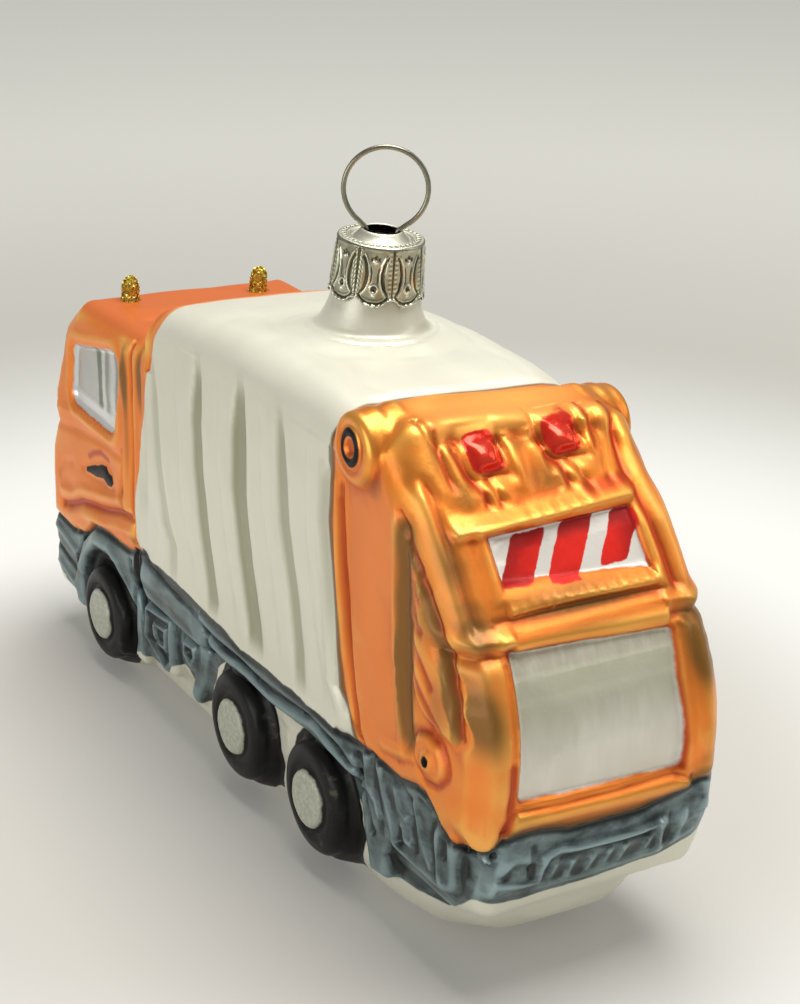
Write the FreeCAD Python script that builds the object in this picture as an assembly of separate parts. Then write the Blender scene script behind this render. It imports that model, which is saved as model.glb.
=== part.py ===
# Mould-blown glass tree ornament in the shape of a three-axle garbage truck.
#
# One thin-walled hollow glass shell carries every feature of the truck (cab, ribbed
# container, tailgate with hopper, chassis, wheels, belly and the open neck on the roof).
# A stamped metal crown cap sits over the neck, and a spring wire loop passes through the
# hole in the cap, its two legs spreading inside the neck.  Two small glitter-coated
# beacons are stuck on the cab roof.
#
# Frame: millimetres, +Z up, the truck's front faces -Y, its left side is +X.
# The model is built about a point near the neck (z = 0 at the belly's flat),
# then moved so that the origin is the centre of the bounding box's bottom.
import FreeCAD
import Part
import json
import math
import os
from FreeCAD import Vector as V

# ---------------------------------------------------------------- driving dimensions
WALL = 0.8              # glass wall, plain areas
WALL_SIDE = 1.5         # glass wall behind the ribbed sides
WALL_GATE = 1.9         # glass wall behind the deep relief of the tailgate

# container (load body)
BOX_HALF = 18.8         # half width at the belt
BOX_FLOOR = 24.0        # lower end of the container, inside the chassis
# rows: y, half width, top z, top corner radius
BOX_ROWS = [
    (-38.2, 15.6, 61.0, 5.5),
    (-36.6, 18.0, 63.6, 7.0),
    (-20.0, 18.7, 67.0, 8.0),
    (0.0, 18.8, 68.0, 8.0),
    (27.0, 18.7, 66.9, 8.0),
]
GROOVE_Y = [-29.0, -15.5, -2.0, 9.5]   # vertical grooves pressed in both sides
GROOVE_R, GROOVE_DEPTH = 1.5, 0.75
GROOVE_Z = (30.0, 61.5)

# cab: side outline (y, z, corner radius)
CAB_HALF = 18.2
CAB_OUTLINE = [
    (-34.0, 24.0, 1.0),
    (-34.0, 58.3, 3.0),
    (-62.0, 58.1, 5.0),
    (-68.0, 53.4, 5.0),
    (-73.6, 41.0, 4.0),
    (-73.6, 36.0, 3.0),
    (-76.2, 30.6, 4.0),
    (-76.6, 17.0, 3.0),
    (-58.0, 17.0, 1.0),
]
CAB_EDGE_R = 3.4
# shallow window recesses in the cab's sides: (y, z) corners, and the windscreen's
SIDE_WINDOW = [(-64.6, 41.6), (-62.4, 50.0), (-59.6, 52.4), (-46.8, 54.2), (-46.6, 40.8)]
WINDOW_DEPTH, WINDOW_R = 0.45, 2.0
SCREEN_HALF, SCREEN_Z, SCREEN_DEPTH = 12.6, (38.0, 52.0), 0.45
DOOR_GROOVE_Y = -42.6

# tailgate: side outline (y, z, corner radius)
GATE_HALF = 18.1
GATE_OUTLINE = [
    (22.5, 20.5, 1.0),
    (22.5, 64.5, 2.0),
    (33.4, 67.4, 6.2),
    (44.8, 54.6, 30.0),
    (50.8, 46.4, 8.0),
    (57.2, 38.4, 7.0),
    (56.8, 20.5, 6.0),
]
GATE_EDGE_R = 5.6
BARREL_Y, BARREL_Z, BARREL_R = 27.2, 63.9, 4.5   # hinge barrel's end collars
BARREL_HALF, BARREL_COLLAR = 19.2, 6.0
BARREL_MID_R = 3.9                               # the barrel between its collars
# the tailgate's rear surface: foot point (y, z) of each feature and the surface's tilt there
GATE_TILT_DEG = 53.5                             # slope of the upper rear surface from the level
LAMP_X, LAMP_SIZE, LAMP_OUT = 6.0, 3.8, 1.3
LAMP_Y, LAMP_Z = 36.0, 63.6
SIGN_HALF, SIGN_H, SIGN_DEPTH = 10.6, 7.6, 0.6
SIGN_Y, SIGN_Z = 46.0, 53.6
# ridges across the rear: half length, y, z, radius
RIDGES = [(14.0, 42.3, 57.2, 1.0), (15.4, 50.0, 46.9, 1.3)]
HOPPER_HALF, HOPPER_Z, HOPPER_DEPTH = 11.6, (27.5, 43.2), 0.6
BOSS_Y, BOSS_Z, BOSS_R, BOSS_OUT = 45.8, 31.4, 2.3, 0.6

# chassis: side outline (y, z, corner radius)
CHASSIS_HALF = 16.4
CHASSIS_OUTLINE = [
    (-75.6, 27.0, 2.0),
    (-77.4, 18.0, 3.0),
    (-76.4, 11.4, 4.0),
    (-73.0, 5.6, 3.0),
    (-64.0, 6.4, 3.0),
    (-40.0, 8.4, 3.0),
    (20.0, 8.6, 3.0),
    (46.0, 8.8, 6.0),
    (54.4, 12.4, 3.0),
    (56.4, 22.0, 2.5),
    (50.0, 27.0, 1.0),
]
CHASSIS_EDGE_R = 2.6
# boxes on the chassis's sides: name, y from, y to, z from, z to, half width outside
SIDE_BOXES = [
    ("tank", -39.5, -19.4, 17.6, 24.4, 17.7),
    ("battery_box", -38.6, -30.4, 7.2, 16.8, 17.0),
    ("tool_box", -29.4, -22.6, 10.6, 16.6, 16.8),
    ("rear_box", 27.4, 31.6, 8.6, 21.5, 17.2),
    ("rear_skirt", 31.0, 47.0, 11.0, 22.0, 17.6),
    ("frame_rail", -19.8, 22.6, 20.6, 25.2, 17.6),
    ("cab_step", -75.4, -64.6, 7.2, 20.0, 17.6),
]
SIDE_BOX_R = 1.0
BUMPER_GROOVES = [(19.6, 12.0), (15.6, 12.0)]    # z, half length, pressed in the rear bumper

# belly: rows y, half width, bottom z, bottom corner radius
BELLY_TOP = 16.0
BELLY_ROWS = [
    (-71.5, 9.0, 5.4, 3.5),
    (-61.0, 13.0, 1.6, 7.0),
    (-44.0, 14.5, 0.0, 6.0),
    (32.0, 14.5, 0.0, 6.0),
    (43.0, 13.0, 2.4, 7.0),
    (50.5, 10.0, 9.0, 4.0),
]

# wheels: y, z of the hub and the tyre's radius at its foot; the same on both sides
WHEELS = [(-53.8, 9.3, 9.1), (-7.1, 10.7, 9.9), (16.1, 10.5, 9.9)]
TYRE_R_FACE = 6.4                       # tapered so the mould releases
TYRE_X_FOOT, TYRE_X_FACE = 14.2, 19.2
HUB_R, HUB_PROUD = 4.0, 0.35
# arches over the wheels: radius, half width outside, cut off below the hub by
ARCHES = [(11.4, 17.6, 2.6), (11.0, 17.2, -4.0), (11.0, 17.2, -4.0)]

# neck, cap and wire loop, in their own upright frame at the neck's foot
LEAN_DEG = 4.8                          # the neck leans a little, as hand-drawn necks do
LEAN_DIR = (-0.76, 0.65)                # towards the truck's right and rear
NECK_Y, NECK_FOOT_Z = -2.1, 67.9
NECK_BORE_R = 3.9
# rows: radius, height
NECK_OUTER = [(9.4, -1.2), (7.5, 1.2), (6.6, 3.0), (5.8, 4.9), (5.2, 7.4), (4.95, 9.0), (4.95, 12.2)]
CAP_R_FOOT, CAP_R_TOP = 6.4, 5.85
CAP_Z_FOOT, CAP_Z_TOP = 4.9, 12.9
CAP_T = 0.3
CAP_SCALLOPS = 8
CAP_COLLAR_R0, CAP_COLLAR_R1, CAP_COLLAR_H = 3.8, 2.8, 0.9
CAP_HOLE_R = 2.45
WIRE_R = 0.32
LOOP_R, LOOP_Z = 5.65, 19.5             # centre line of the loop
LOOP_OPEN_DEG = 35.0                    # half of the gap in the loop's foot
WAIST_X, WAIST_Z = 2.0, 13.65           # where the wire passes the cap's hole
LEG_X, LEG_Z = 3.1, 5.0                 # the legs' tips, inside the neck
LOOP_TURN_DEG = 150.0                   # direction of the loop's plane about the neck

BEACONS = {"beacon_left": (10.6, -58.7), "beacon_right": (-10.0, -56.6)}   # x, y, set by hand
BEACON_R, BEACON_H, BEACON_FOOT_Z = 1.35, 4.3, 57.6


# ---------------------------------------------------------------- helpers
def rounded(points, radii, closed=True):
    """Edges (lines and tangent arcs) through the 3-D points, each corner rounded."""
    pts = [V(*p) for p in points]
    n = len(pts)
    starts, ends, arcs = {}, {}, {}
    for i in range(n):
        if not closed and i in (0, n - 1):
            starts[i] = ends[i] = pts[i]
            continue
        a, b, c = pts[i - 1], pts[i], pts[(i + 1) % n]
        u, w = (a - b), (c - b)
        u.normalize()
        w.normalize()
        half = math.acos(max(-1.0, min(1.0, u.dot(w)))) / 2
        r = radii[i]
        t = r / math.tan(half)
        bis = u + w
        bis.normalize()
        centre = b + bis * (r / math.sin(half))
        starts[i], ends[i] = b + u * t, b + w * t
        arcs[i] = (b + u * t, centre - bis * r, b + w * t)
    edges = []
    last = n if closed else n - 1
    for i in range(n):
        if i in arcs:
            edges.append(Part.Arc(*arcs[i]).toShape())
        if i < last:
            j = (i + 1) % n
            if (starts[j] - ends[i]).Length > 1e-6:
                edges.append(Part.LineSegment(ends[i], starts[j]).toShape())
    return edges


def side_prism(outline, half, edge_r, inset=0.0):
    """A side outline (y, z, radius) extruded across the truck, its side edges rounded."""
    pts = [(0, y, z) for y, z, r in outline]
    rad = [r for y, z, r in outline]
    wire = Part.Wire(rounded(pts, rad))
    if inset:
        wire = wire.makeOffset2D(-inset, 0, False, False, True)
    face = Part.Face(wire)
    face.translate(V(-(half - inset), 0, 0))
    solid = face.extrude(V(2 * (half - inset), 0, 0))
    r = max(edge_r - inset, 0.4)
    try:
        edges = [e for e in solid.Edges
                 if abs(abs(e.CenterOfMass.x) - (half - inset)) < 1e-4]
        done = solid.makeFillet(r, edges)
        if done.isValid() and done.Solids:
            return done.Solids[0]
    except Exception as e:
        print("edge rounding skipped:", e)
    return solid


def box_section(y, hw, z0, z1, r_top, r_bottom):
    pts = [(hw, y, z0), (hw, y, z1), (-hw, y, z1), (-hw, y, z0)]
    return Part.Wire(rounded(pts, [r_bottom, r_top, r_top, r_bottom]))


def container(inset=0.0):
    wires = []
    last = len(BOX_ROWS) - 1
    for i, (y, hw, z1, r) in enumerate(BOX_ROWS):
        yy = y + (inset if i == 0 else (-inset if i == last else 0))
        wires.append(box_section(yy, hw - inset, BOX_FLOOR - 1, z1 - inset, r - min(inset, 1.5), 1.0))
    return Part.makeLoft(wires, True, True)


def belly(inset=0.0):
    wires = []
    last = len(BELLY_ROWS) - 1
    for i, (y, hw, z0, r) in enumerate(BELLY_ROWS):
        yy = y + (inset if i == 0 else (-inset if i == last else 0))
        wires.append(box_section(yy, hw - inset, z0 + inset, BELLY_TOP, 1.0, r - min(inset, 2.0)))
    return Part.makeLoft(wires, True, True)


def wheel(y, z, foot_r, side, inset=0.0):
    x0, x1 = TYRE_X_FOOT, TYRE_X_FACE - inset
    cone = Part.makeCone(foot_r - inset, TYRE_R_FACE - inset, x1 - x0,
                         V(side * x0, y, z), V(side, 0, 0))
    if inset:
        return cone
    rim = [e for e in cone.Edges if abs(abs(e.CenterOfMass.x) - x1) < 1e-4
           and e.Curve.TypeId == "Part::GeomCircle"]
    cone = cone.makeFillet(0.9, rim)
    hub = Part.makeCylinder(HUB_R, HUB_PROUD + 1.0, V(side * (x1 - 1.0), y, z), V(side, 0, 0))
    return cone.fuse(hub)


def neck_frame():
    """Placement of the neck's upright frame in the truck."""
    d = V(LEAN_DIR[0], LEAN_DIR[1], 0)
    d.normalize()
    axis = V(0, 0, 1).cross(d)
    rot = FreeCAD.Rotation(axis, LEAN_DEG)
    return FreeCAD.Placement(V(0, NECK_Y, NECK_FOOT_Z), rot)


def revolve(rows):
    """Closed (radius, height) outline turned about the neck's axis."""
    pts = [V(r, 0, z) for r, z in rows]
    wire = Part.makePolygon(pts + [pts[0]])
    return Part.Face(wire).revolve(V(0, 0, 0), V(0, 0, 1), 360)


def fuse_all(shapes):
    out = shapes[0].multiFuse(shapes[1:])
    return out


# ---------------------------------------------------------------- glass shell
def slab(points, r, along, thick):
    """A flat plate with rounded corners: (y, z) points at x = 0, extruded along x by thick."""
    wire = Part.Wire(rounded([(0, y, z) for y, z in points], [r] * len(points)))
    return Part.Face(wire).extrude(V(thick * along, 0, 0))


def rear_block(x, half_x, y, z, high, out, deep, r):
    """A block standing square on the sloping rear: half width, height along the slope, how far it
    stands out of and reaches under the point (y, z)."""
    b = Part.makeBox(2 * half_x, out + deep, high, V(-half_x, -deep, -high / 2))
    b = b.makeFillet(r, [e for e in b.Edges])
    b.rotate(V(0, 0, 0), V(1, 0, 0), 90 - GATE_TILT_DEG)
    b.translate(V(x, y, z))
    return b


def side_box(y0, y1, z0, z1, half):
    b = Part.makeBox(2 * half, y1 - y0, z1 - z0, V(-half, y0, z0))
    edges = [e for e in b.Edges if abs(abs(e.CenterOfMass.x) - half) < 1e-6 or abs(e.CenterOfMass.x) < 1e-6]
    return b.makeFillet(SIDE_BOX_R, edges)


def gate_outer():
    parts = [side_prism(GATE_OUTLINE, GATE_HALF, GATE_EDGE_R)]
    mid = Part.makeCylinder(BARREL_MID_R, 2 * BARREL_HALF - 2, V(-BARREL_HALF + 1, BARREL_Y + 0.6, BARREL_Z + 0.4), V(1, 0, 0))
    parts.append(mid)
    for side in (1, -1):
        x = side * BARREL_HALF
        c = Part.makeCylinder(BARREL_R, BARREL_COLLAR, V(x, BARREL_Y, BARREL_Z), V(-side, 0, 0))
        parts.append(c.makeFillet(0.9, [e for e in c.Edges if e.Curve.TypeId == "Part::GeomCircle"]))
        parts.append(rear_block(side * LAMP_X, LAMP_SIZE / 2, LAMP_Y, LAMP_Z, LAMP_SIZE, LAMP_OUT, 3.0, 0.7))
        b = Part.makeCylinder(BOSS_R, BOSS_OUT + 3, V(side * (GATE_HALF + BOSS_OUT), BOSS_Y, BOSS_Z), V(-side, 0, 0))
        parts.append(b)
    for half, y, z, r in RIDGES:
        c = Part.makeCylinder(r, 2 * half, V(-half, y, z), V(1, 0, 0))
        parts.append(c.makeFillet(r * 0.6, [e for e in c.Edges if e.Curve.TypeId == "Part::GeomCircle"]))
    return parts


def pressed_in():
    """Everything that is pressed into the shell: grooves, window recesses, sign and hopper panel."""
    out = []
    z0, z1 = GROOVE_Z
    for side in (1, -1):
        for y in GROOVE_Y:
            out.append(Part.makeCylinder(GROOVE_R, z1 - z0, V(side * (BOX_HALF - GROOVE_DEPTH + GROOVE_R), y, z0), V(0, 0, 1)))
        w = slab(SIDE_WINDOW, WINDOW_R, side, 5)
        w.translate(V(side * (CAB_HALF - WINDOW_DEPTH), 0, 0))
        out.append(w)
        out.append(Part.makeCylinder(0.8, 24, V(side * (CAB_HALF + 0.4), DOOR_GROOVE_Y, 29), V(0, 0, 1)))
    # windscreen: square to the raked front
    (y1, z1, _), (y0, z0, _) = CAB_OUTLINE[3], CAB_OUTLINE[4]   # the windscreen's slope
    tilt = math.degrees(math.atan2(y1 - y0, z1 - z0))
    zm = sum(SCREEN_Z) / 2
    ym = y0 + (y1 - y0) * (zm - z0) / (z1 - z0)
    high = SCREEN_Z[1] - SCREEN_Z[0]
    b = Part.makeBox(2 * SCREEN_HALF, 5, high, V(-SCREEN_HALF, -5 + SCREEN_DEPTH, -high / 2))
    b = b.makeFillet(2.0, [e for e in b.Edges if abs(e.CenterOfMass.y + 5 - SCREEN_DEPTH - 2.5) < 1e-6])
    b.rotate(V(0, 0, 0), V(1, 0, 0), -tilt)
    b.translate(V(0, ym, zm))
    out.append(b)
    # striped panel
    out.append(rear_block(0, SIGN_HALF, SIGN_Y, SIGN_Z, SIGN_H, 4.0, SIGN_DEPTH, 0.5))
    # hopper panel: a thin bent plate's worth taken off the rear, between the two columns
    zl, zh = HOPPER_Z
    plate = side_prism(GATE_OUTLINE, HOPPER_HALF, 0.6)
    inner = side_prism(GATE_OUTLINE, HOPPER_HALF + 1, 0.6, HOPPER_DEPTH)
    inner = inner.fuse(Part.makeBox(2 * HOPPER_HALF + 4, 60, 80, V(-HOPPER_HALF - 2, -20, 0)))
    band = Part.makeBox(2 * HOPPER_HALF, 30, zh - zl, V(-HOPPER_HALF, 40, zl))
    out.append(plate.common(band).cut(inner))
    for z, half in BUMPER_GROOVES:
        out.append(Part.makeCylinder(0.7, 2 * half, V(-half, 56.3, z), V(1, 0, 0)))
    return out


def glass_outer():
    parts = [
        container(),
        side_prism(CAB_OUTLINE, CAB_HALF, CAB_EDGE_R),
        side_prism(CHASSIS_OUTLINE, CHASSIS_HALF, CHASSIS_EDGE_R),
        belly(),
    ] + gate_outer()
    for y, z, foot_r in WHEELS:
        for side in (1, -1):
            parts.append(wheel(y, z, foot_r, side))
    for (y, z, foot_r), (r, half, below) in zip(WHEELS, ARCHES):
        arch = Part.makeCylinder(r, 2 * half, V(-half, y, z), V(1, 0, 0))
        parts.append(arch.cut(Part.makeBox(60, 60, 40, V(-30, y - 30, z - 40 - below))))
    for name, y0, y1, z0, z1, half in SIDE_BOXES:
        parts.append(side_box(y0, y1, z0, z1, half))
    return fuse_all(parts)


def glass_inner():
    parts = [
        container(WALL_SIDE),
        side_prism(CAB_OUTLINE, CAB_HALF, CAB_EDGE_R, 1.4),
        side_prism(GATE_OUTLINE, GATE_HALF, GATE_EDGE_R, WALL_GATE),
        side_prism(CHASSIS_OUTLINE, CHASSIS_HALF, CHASSIS_EDGE_R, 1.4),
        belly(WALL),
    ]
    for y, z, foot_r in WHEELS:
        for side in (1, -1):
            parts.append(wheel(y, z, foot_r, side, WALL))
    return fuse_all(parts)


def main():
    os.makedirs("parts", exist_ok=True)
    place = neck_frame()
    # neck
    rows = [(0.0, NECK_OUTER[0][1] - 3.0)] + [(NECK_OUTER[0][0], NECK_OUTER[0][1] - 3.0)] + NECK_OUTER + [(0.0, NECK_OUTER[-1][1])]
    neck = revolve(rows)
    neck.Placement = place.multiply(neck.Placement)
    bore = Part.makeCylinder(NECK_BORE_R, 30, V(0, 0, -12), V(0, 0, 1))
    bore.Placement = place.multiply(bore.Placement)

    outer = glass_outer().fuse(neck)
    for tool in pressed_in():
        outer = outer.cut(tool)
    inner = glass_inner()
    glass = outer.cut(inner).cut(bore)
    glass = glass.removeSplitter()

    # cap: thin stamped crown, one shell of revolution with a scalloped hem
    t = CAP_T
    cap_rows = [
        (CAP_R_FOOT, CAP_Z_FOOT), (CAP_R_TOP, CAP_Z_TOP),
        (CAP_COLLAR_R0, CAP_Z_TOP), (CAP_COLLAR_R1, CAP_Z_TOP + CAP_COLLAR_H),
        (CAP_HOLE_R, CAP_Z_TOP + CAP_COLLAR_H), (CAP_HOLE_R, CAP_Z_TOP + CAP_COLLAR_H - t),
        (CAP_COLLAR_R1 - 0.15, CAP_Z_TOP + CAP_COLLAR_H - t), (CAP_COLLAR_R0 - 0.15, CAP_Z_TOP - t),
        (CAP_R_TOP - t - 0.03, CAP_Z_TOP - t), (CAP_R_FOOT - t - 0.03, CAP_Z_FOOT),
    ]
    cap = revolve(cap_rows)
    for k in range(CAP_SCALLOPS):
        a = 2 * math.pi * (k + 0.5) / CAP_SCALLOPS
        notch = Part.makeCylinder(1.0, 6, V(4 * math.cos(a), 4 * math.sin(a), CAP_Z_FOOT - 0.35), V(math.cos(a), math.sin(a), 0))
        cap = cap.cut(notch)
    cap.Placement = place.multiply(cap.Placement)

    # wire loop: legs, waist and loop in one plane, then turned about the neck
    g = math.radians(LOOP_OPEN_DEG)
    lx, lz = LOOP_R * math.sin(g), LOOP_Z - LOOP_R * math.cos(g)
    left = rounded([(-LEG_X, 0, LEG_Z), (-WAIST_X, 0, WAIST_Z), (-lx, 0, lz)], [0, 0.8, 0], closed=False)
    right = rounded([(lx, 0, lz), (WAIST_X, 0, WAIST_Z), (LEG_X, 0, LEG_Z)], [0, 0.8, 0], closed=False)
    arc = Part.Arc(V(-lx, 0, lz), V(0, 0, LOOP_Z + LOOP_R), V(lx, 0, lz)).toShape()
    path = Part.Wire(left + [arc] + right)
    ends = (V(-LEG_X, 0, LEG_Z), V(-WAIST_X, 0, WAIST_Z))
    prof = Part.Wire(Part.Circle(ends[0], ends[1] - ends[0], WIRE_R).toShape())
    wire = path.makePipeShell([prof], True, True)
    wire.rotate(V(0, 0, 0), V(0, 0, 1), LOOP_TURN_DEG)
    wire.Placement = place.multiply(wire.Placement)
    print("wire volume %.2f, section x length %.2f" % (wire.Volume, math.pi * WIRE_R ** 2 * path.Length))

    # beacons: small domes standing on the cab roof
    beacons = {}
    for name, (x, y) in BEACONS.items():
        z = BEACON_FOOT_Z
        dome = Part.makeCone(BEACON_R, BEACON_R * 0.78, BEACON_H - BEACON_R * 0.78, V(x, y, z), V(0, 0, 1))
        tip = Part.makeSphere(BEACON_R * 0.78, V(x, y, z + BEACON_H - BEACON_R * 0.78))
        dome = dome.fuse(tip).removeSplitter()
        beacons[name] = dome.cut(outer)

    nodes = {"glass_body": glass, "metal_cap": cap, "hanger_loop": wire}
    nodes.update(beacons)
    box = FreeCAD.BoundBox()
    for s in nodes.values():
        box.add(s.optimalBoundingBox(False) if hasattr(s, "optimalBoundingBox") else s.BoundBox)
    move = V(-(box.XMin + box.XMax) / 2, -(box.YMin + box.YMax) / 2, -box.ZMin)
    for name, s in nodes.items():
        s = s.copy()
        s.translate(move)
        solids = s.Solids
        print(name, "solids", len(solids), "valid", s.isValid(), "volume cm3 %.3f" % (s.Volume / 1000),
              "box", [round(v, 2) for v in (s.BoundBox.XMin, s.BoundBox.XMax, s.BoundBox.YMin, s.BoundBox.YMax, s.BoundBox.ZMin, s.BoundBox.ZMax)])
        shape = solids[0] if len(solids) == 1 else Part.makeCompound(solids)
        shape.exportStep("parts/%s.step" % name)
    axis = place.Rotation.multVec(V(0, 0, 1))
    foot = place.Base + move
    u = place.Rotation.multVec(V(math.cos(math.radians(LOOP_TURN_DEG)), math.sin(math.radians(LOOP_TURN_DEG)), 0))
    waist = foot + axis * WAIST_Z
    centre = foot + axis * LOOP_Z
    print(json.dumps({"shift": list(move), "neck_axis": list(axis), "neck_foot": list(foot),
                      "loop_lean_axis": list(u), "loop_lean_pos": list(waist), "loop_centre": list(centre)}))


main()
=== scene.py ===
# Looks of the glass garbage-truck ornament: the blown and painted glass body, the stamped
# cap, the wire loop and the glitter beacons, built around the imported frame.
import bpy, math, time
import numpy as np
from mathutils import Matrix, Vector


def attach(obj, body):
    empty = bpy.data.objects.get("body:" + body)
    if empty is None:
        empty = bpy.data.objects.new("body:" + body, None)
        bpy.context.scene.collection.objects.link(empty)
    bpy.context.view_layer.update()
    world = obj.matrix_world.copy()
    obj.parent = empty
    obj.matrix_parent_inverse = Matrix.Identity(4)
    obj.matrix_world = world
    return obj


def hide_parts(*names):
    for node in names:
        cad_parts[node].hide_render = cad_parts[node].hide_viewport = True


T0 = time.time()
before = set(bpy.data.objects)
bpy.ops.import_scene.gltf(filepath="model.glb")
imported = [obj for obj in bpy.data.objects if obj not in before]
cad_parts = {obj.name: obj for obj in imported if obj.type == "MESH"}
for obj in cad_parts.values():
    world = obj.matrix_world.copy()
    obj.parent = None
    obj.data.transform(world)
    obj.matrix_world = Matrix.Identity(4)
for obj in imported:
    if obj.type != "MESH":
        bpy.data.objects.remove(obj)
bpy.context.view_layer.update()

SY = 10.105         # from the neck's y to the row's y, mm
F4 = np.float32

def sstep(x, a, b):
    t = np.clip((x - a) / (b - a), 0, 1)
    return t * t * (3 - 2 * t)

def smin(a, b, k):
    h = np.maximum(k - np.abs(a - b), 0) / k
    return np.minimum(a, b) - h * h * k * 0.25

def smax(a, b, k):
    return -smin(-a, -b, k)

def poly2(u, v, pts):
    """Signed distance to a polygon in a plane, negative inside."""
    d = np.full(u.shape, 1e9, F4)
    s = np.ones(u.shape, F4)
    n = len(pts)
    for i in range(n):
        (ax, ay), (bx, by) = pts[i], pts[i - 1]
        ex, ey = bx - ax, by - ay
        wx, wy = u - ax, v - ay
        t = np.clip((wx * ex + wy * ey) / (ex * ex + ey * ey), 0, 1)
        dx, dy = wx - ex * t, wy - ey * t
        d = np.minimum(d, dx * dx + dy * dy)
        c1, c2, c3 = v >= ay, v < by, ex * wy > ey * wx
        flip = (c1 & c2 & c3) | (~c1 & ~c2 & ~c3)
        s = np.where(flip, -s, s)
    return s * np.sqrt(d)

def prism(d2, ax, hw, r):
    q1, q2 = d2 + r, ax - hw + r
    return np.hypot(np.maximum(q1, 0), np.maximum(q2, 0)) + np.minimum(np.maximum(q1, q2), 0) - r

def both(d1, d2, r):
    q1, q2 = d1 + r, d2 + r
    return np.hypot(np.maximum(q1, 0), np.maximum(q2, 0)) + np.minimum(np.maximum(q1, q2), 0) - r

def rrect(u, v, hu, v0, v1, r_hi, r_lo):
    m, h = (v0 + v1) / 2, (v1 - v0) / 2
    r = np.where(v > m, r_hi, r_lo)
    qu, qv = u - hu + r, np.abs(v - m) - h + r
    return np.hypot(np.maximum(qu, 0), np.maximum(qv, 0)) + np.minimum(np.maximum(qu, qv), 0) - r

def seg(u, v, pts):
    """Unsigned distance to an open polyline in a plane."""
    d = np.full(u.shape, 1e9, F4)
    for (ax, ay), (bx, by) in zip(pts[:-1], pts[1:]):
        ex, ey = bx - ax, by - ay
        wx, wy = u - ax, v - ay
        t = np.clip((wx * ex + wy * ey) / max(ex * ex + ey * ey, 1e-9), 0, 1)
        d = np.minimum(d, np.hypot(wx - ex * t, wy - ey * t))
    return d

def bump(d, w):
    return np.exp(-(d / w) ** 2)

def curve(pts, t):
    p = np.array(pts, float)
    return np.interp(t, p[:, 0], p[:, 1]).astype(F4)

# ---- soft noise without a library: sums of a few waves
def waves(x, y, z, s, seed):
    rng = np.random.RandomState(seed)
    out = np.zeros(x.shape, F4)
    for k in range(7):
        w = rng.normal(size=3)
        w = w / np.linalg.norm(w) * s * rng.uniform(0.7, 1.6)
        out += np.sin(x * w[0] + y * w[1] + z * w[2] + rng.uniform(0, 6.28)).astype(F4)
    return out / 7 ** 0.5

CAB = [(-34, 20), (-34, 56.0), (-61.2, 55.8), (-66.4, 51.8), (-71.3, 40.6), (-71.3, 35.8), (-73.8, 30.4), (-74.2, 19.6), (-58, 19.6)]
GATE = [(24.0, 22.5), (24.0, 63.4), (32.4, 64.6), (42.6, 53.0), (48.4, 45.4), (50.2, 43.2), (51.75, 41.0), (52.9, 38.8), (53.7, 36.4), (54.15, 34.0), (54.4, 31.5), (54.4, 29.0), (53.8, 22.5)]
CHAS = [(-73.6, 25.0), (-75.2, 18.0), (-74.2, 11.9), (-71.0, 8.2), (-64.0, 9.0), (-40.0, 11.0), (20.0, 11.4), (46.0, 11.6), (52.0, 13.6), (54.4, 20.0), (50.0, 25.0)]
GROOVES = [
    [(-27.1, 30.9), (-29.4, 33.9), (-31.6, 42.5), (-32.4, 48.3), (-33.3, 58.6)],
    [(-13.7, 27.5), (-16.3, 37.1), (-18.0, 45.6), (-18.3, 52.8), (-17.1, 62.9)],
    [(-0.1, 26.9), (-3.3, 37.5), (-4.9, 47.1), (-5.0, 55.7), (-4.1, 63.9)],
    [(12.9, 26.5), (10.7, 38.6), (8.2, 47.5), (7.4, 58.3), (7.0, 63.5)],
]
RIBS = [  # faint lines down the middle of the wide ribs
    [(-20.2, 30.0), (-23.6, 40.0), (-25.4, 55.0), (-25.0, 62.0)],
    [(-7.0, 29.0), (-9.8, 40.0), (-11.6, 52.0), (-10.6, 63.0)],
    [(6.6, 29.0), (3.8, 40.0), (1.6, 52.0), (1.6, 63.0)],
    [(19.2, 28.0), (16.6, 36.0), (14.6, 48.0), (14.4, 60.0)],
]
GROOVE_W = [1.2, 1.6, 2.2, 1.4]
GROOVE_D = [0.30, 0.52, 0.58, 0.42]
WHEELS = [(-53.8, 9.3, 9.1), (-7.1, 10.7, 9.9), (16.1, 10.5, 9.9)]
WINDOW = [(-61.9, 49.0), (-48.6, 51.7), (-50.4, 42.7), (-56.5, 42.9), (-62.8, 43.2)]

HANDLE = [(-60.3, 31.5), (-58.2, 32.4), (-56.2, 33.1), (-54.1, 34.0), (-52.4, 34.2), (-51.8, 33.5), (-50.3, 33.3), (-49.9, 32.4), (-50.8, 31.6), (-52.4, 31.4), (-53.7, 31.9), (-56.2, 31.4), (-58.2, 31.2), (-60.3, 31.0)]
BAND = [(25.4, 61.0), (25.4, 66.2), (27.0, 67.2), (32.6, 66.0), (33.0, 64.8), (31.0, 61.0)]

FACE_Z = np.arange(20.0, 52.0, 0.25)
_y = np.arange(44.0, 60.0, 0.02)
_g = poly2(np.repeat(_y[None], len(FACE_Z), 0).astype(F4), np.repeat(FACE_Z[:, None], len(_y), 1).astype(F4), GATE) < 3.0
_f = np.array([_y[np.nonzero(r)[0][-1]] for r in _g])
_k = np.exp(-0.5 * (np.arange(-40, 41) * 0.25 / 3.2) ** 2)
_w = np.pad(_f, 40, "reflect", reflect_type="odd")
FACE_D = (np.convolve(_w, _k / _k.sum(), "valid") - _f) * sstep(FACE_Z, 24.0, 28.0) * (1 - sstep(FACE_Z, 45.0, 48.5))
LEAN, LDIR = np.radians(4.8), np.array([-0.76, 0.65]) / np.hypot(0.76, 0.65)
NAX = np.array([LDIR[0] * np.sin(LEAN), LDIR[1] * np.sin(LEAN), np.cos(LEAN)])
NFOOT = np.array([0.0, SY - 2.1, 67.9])
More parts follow.
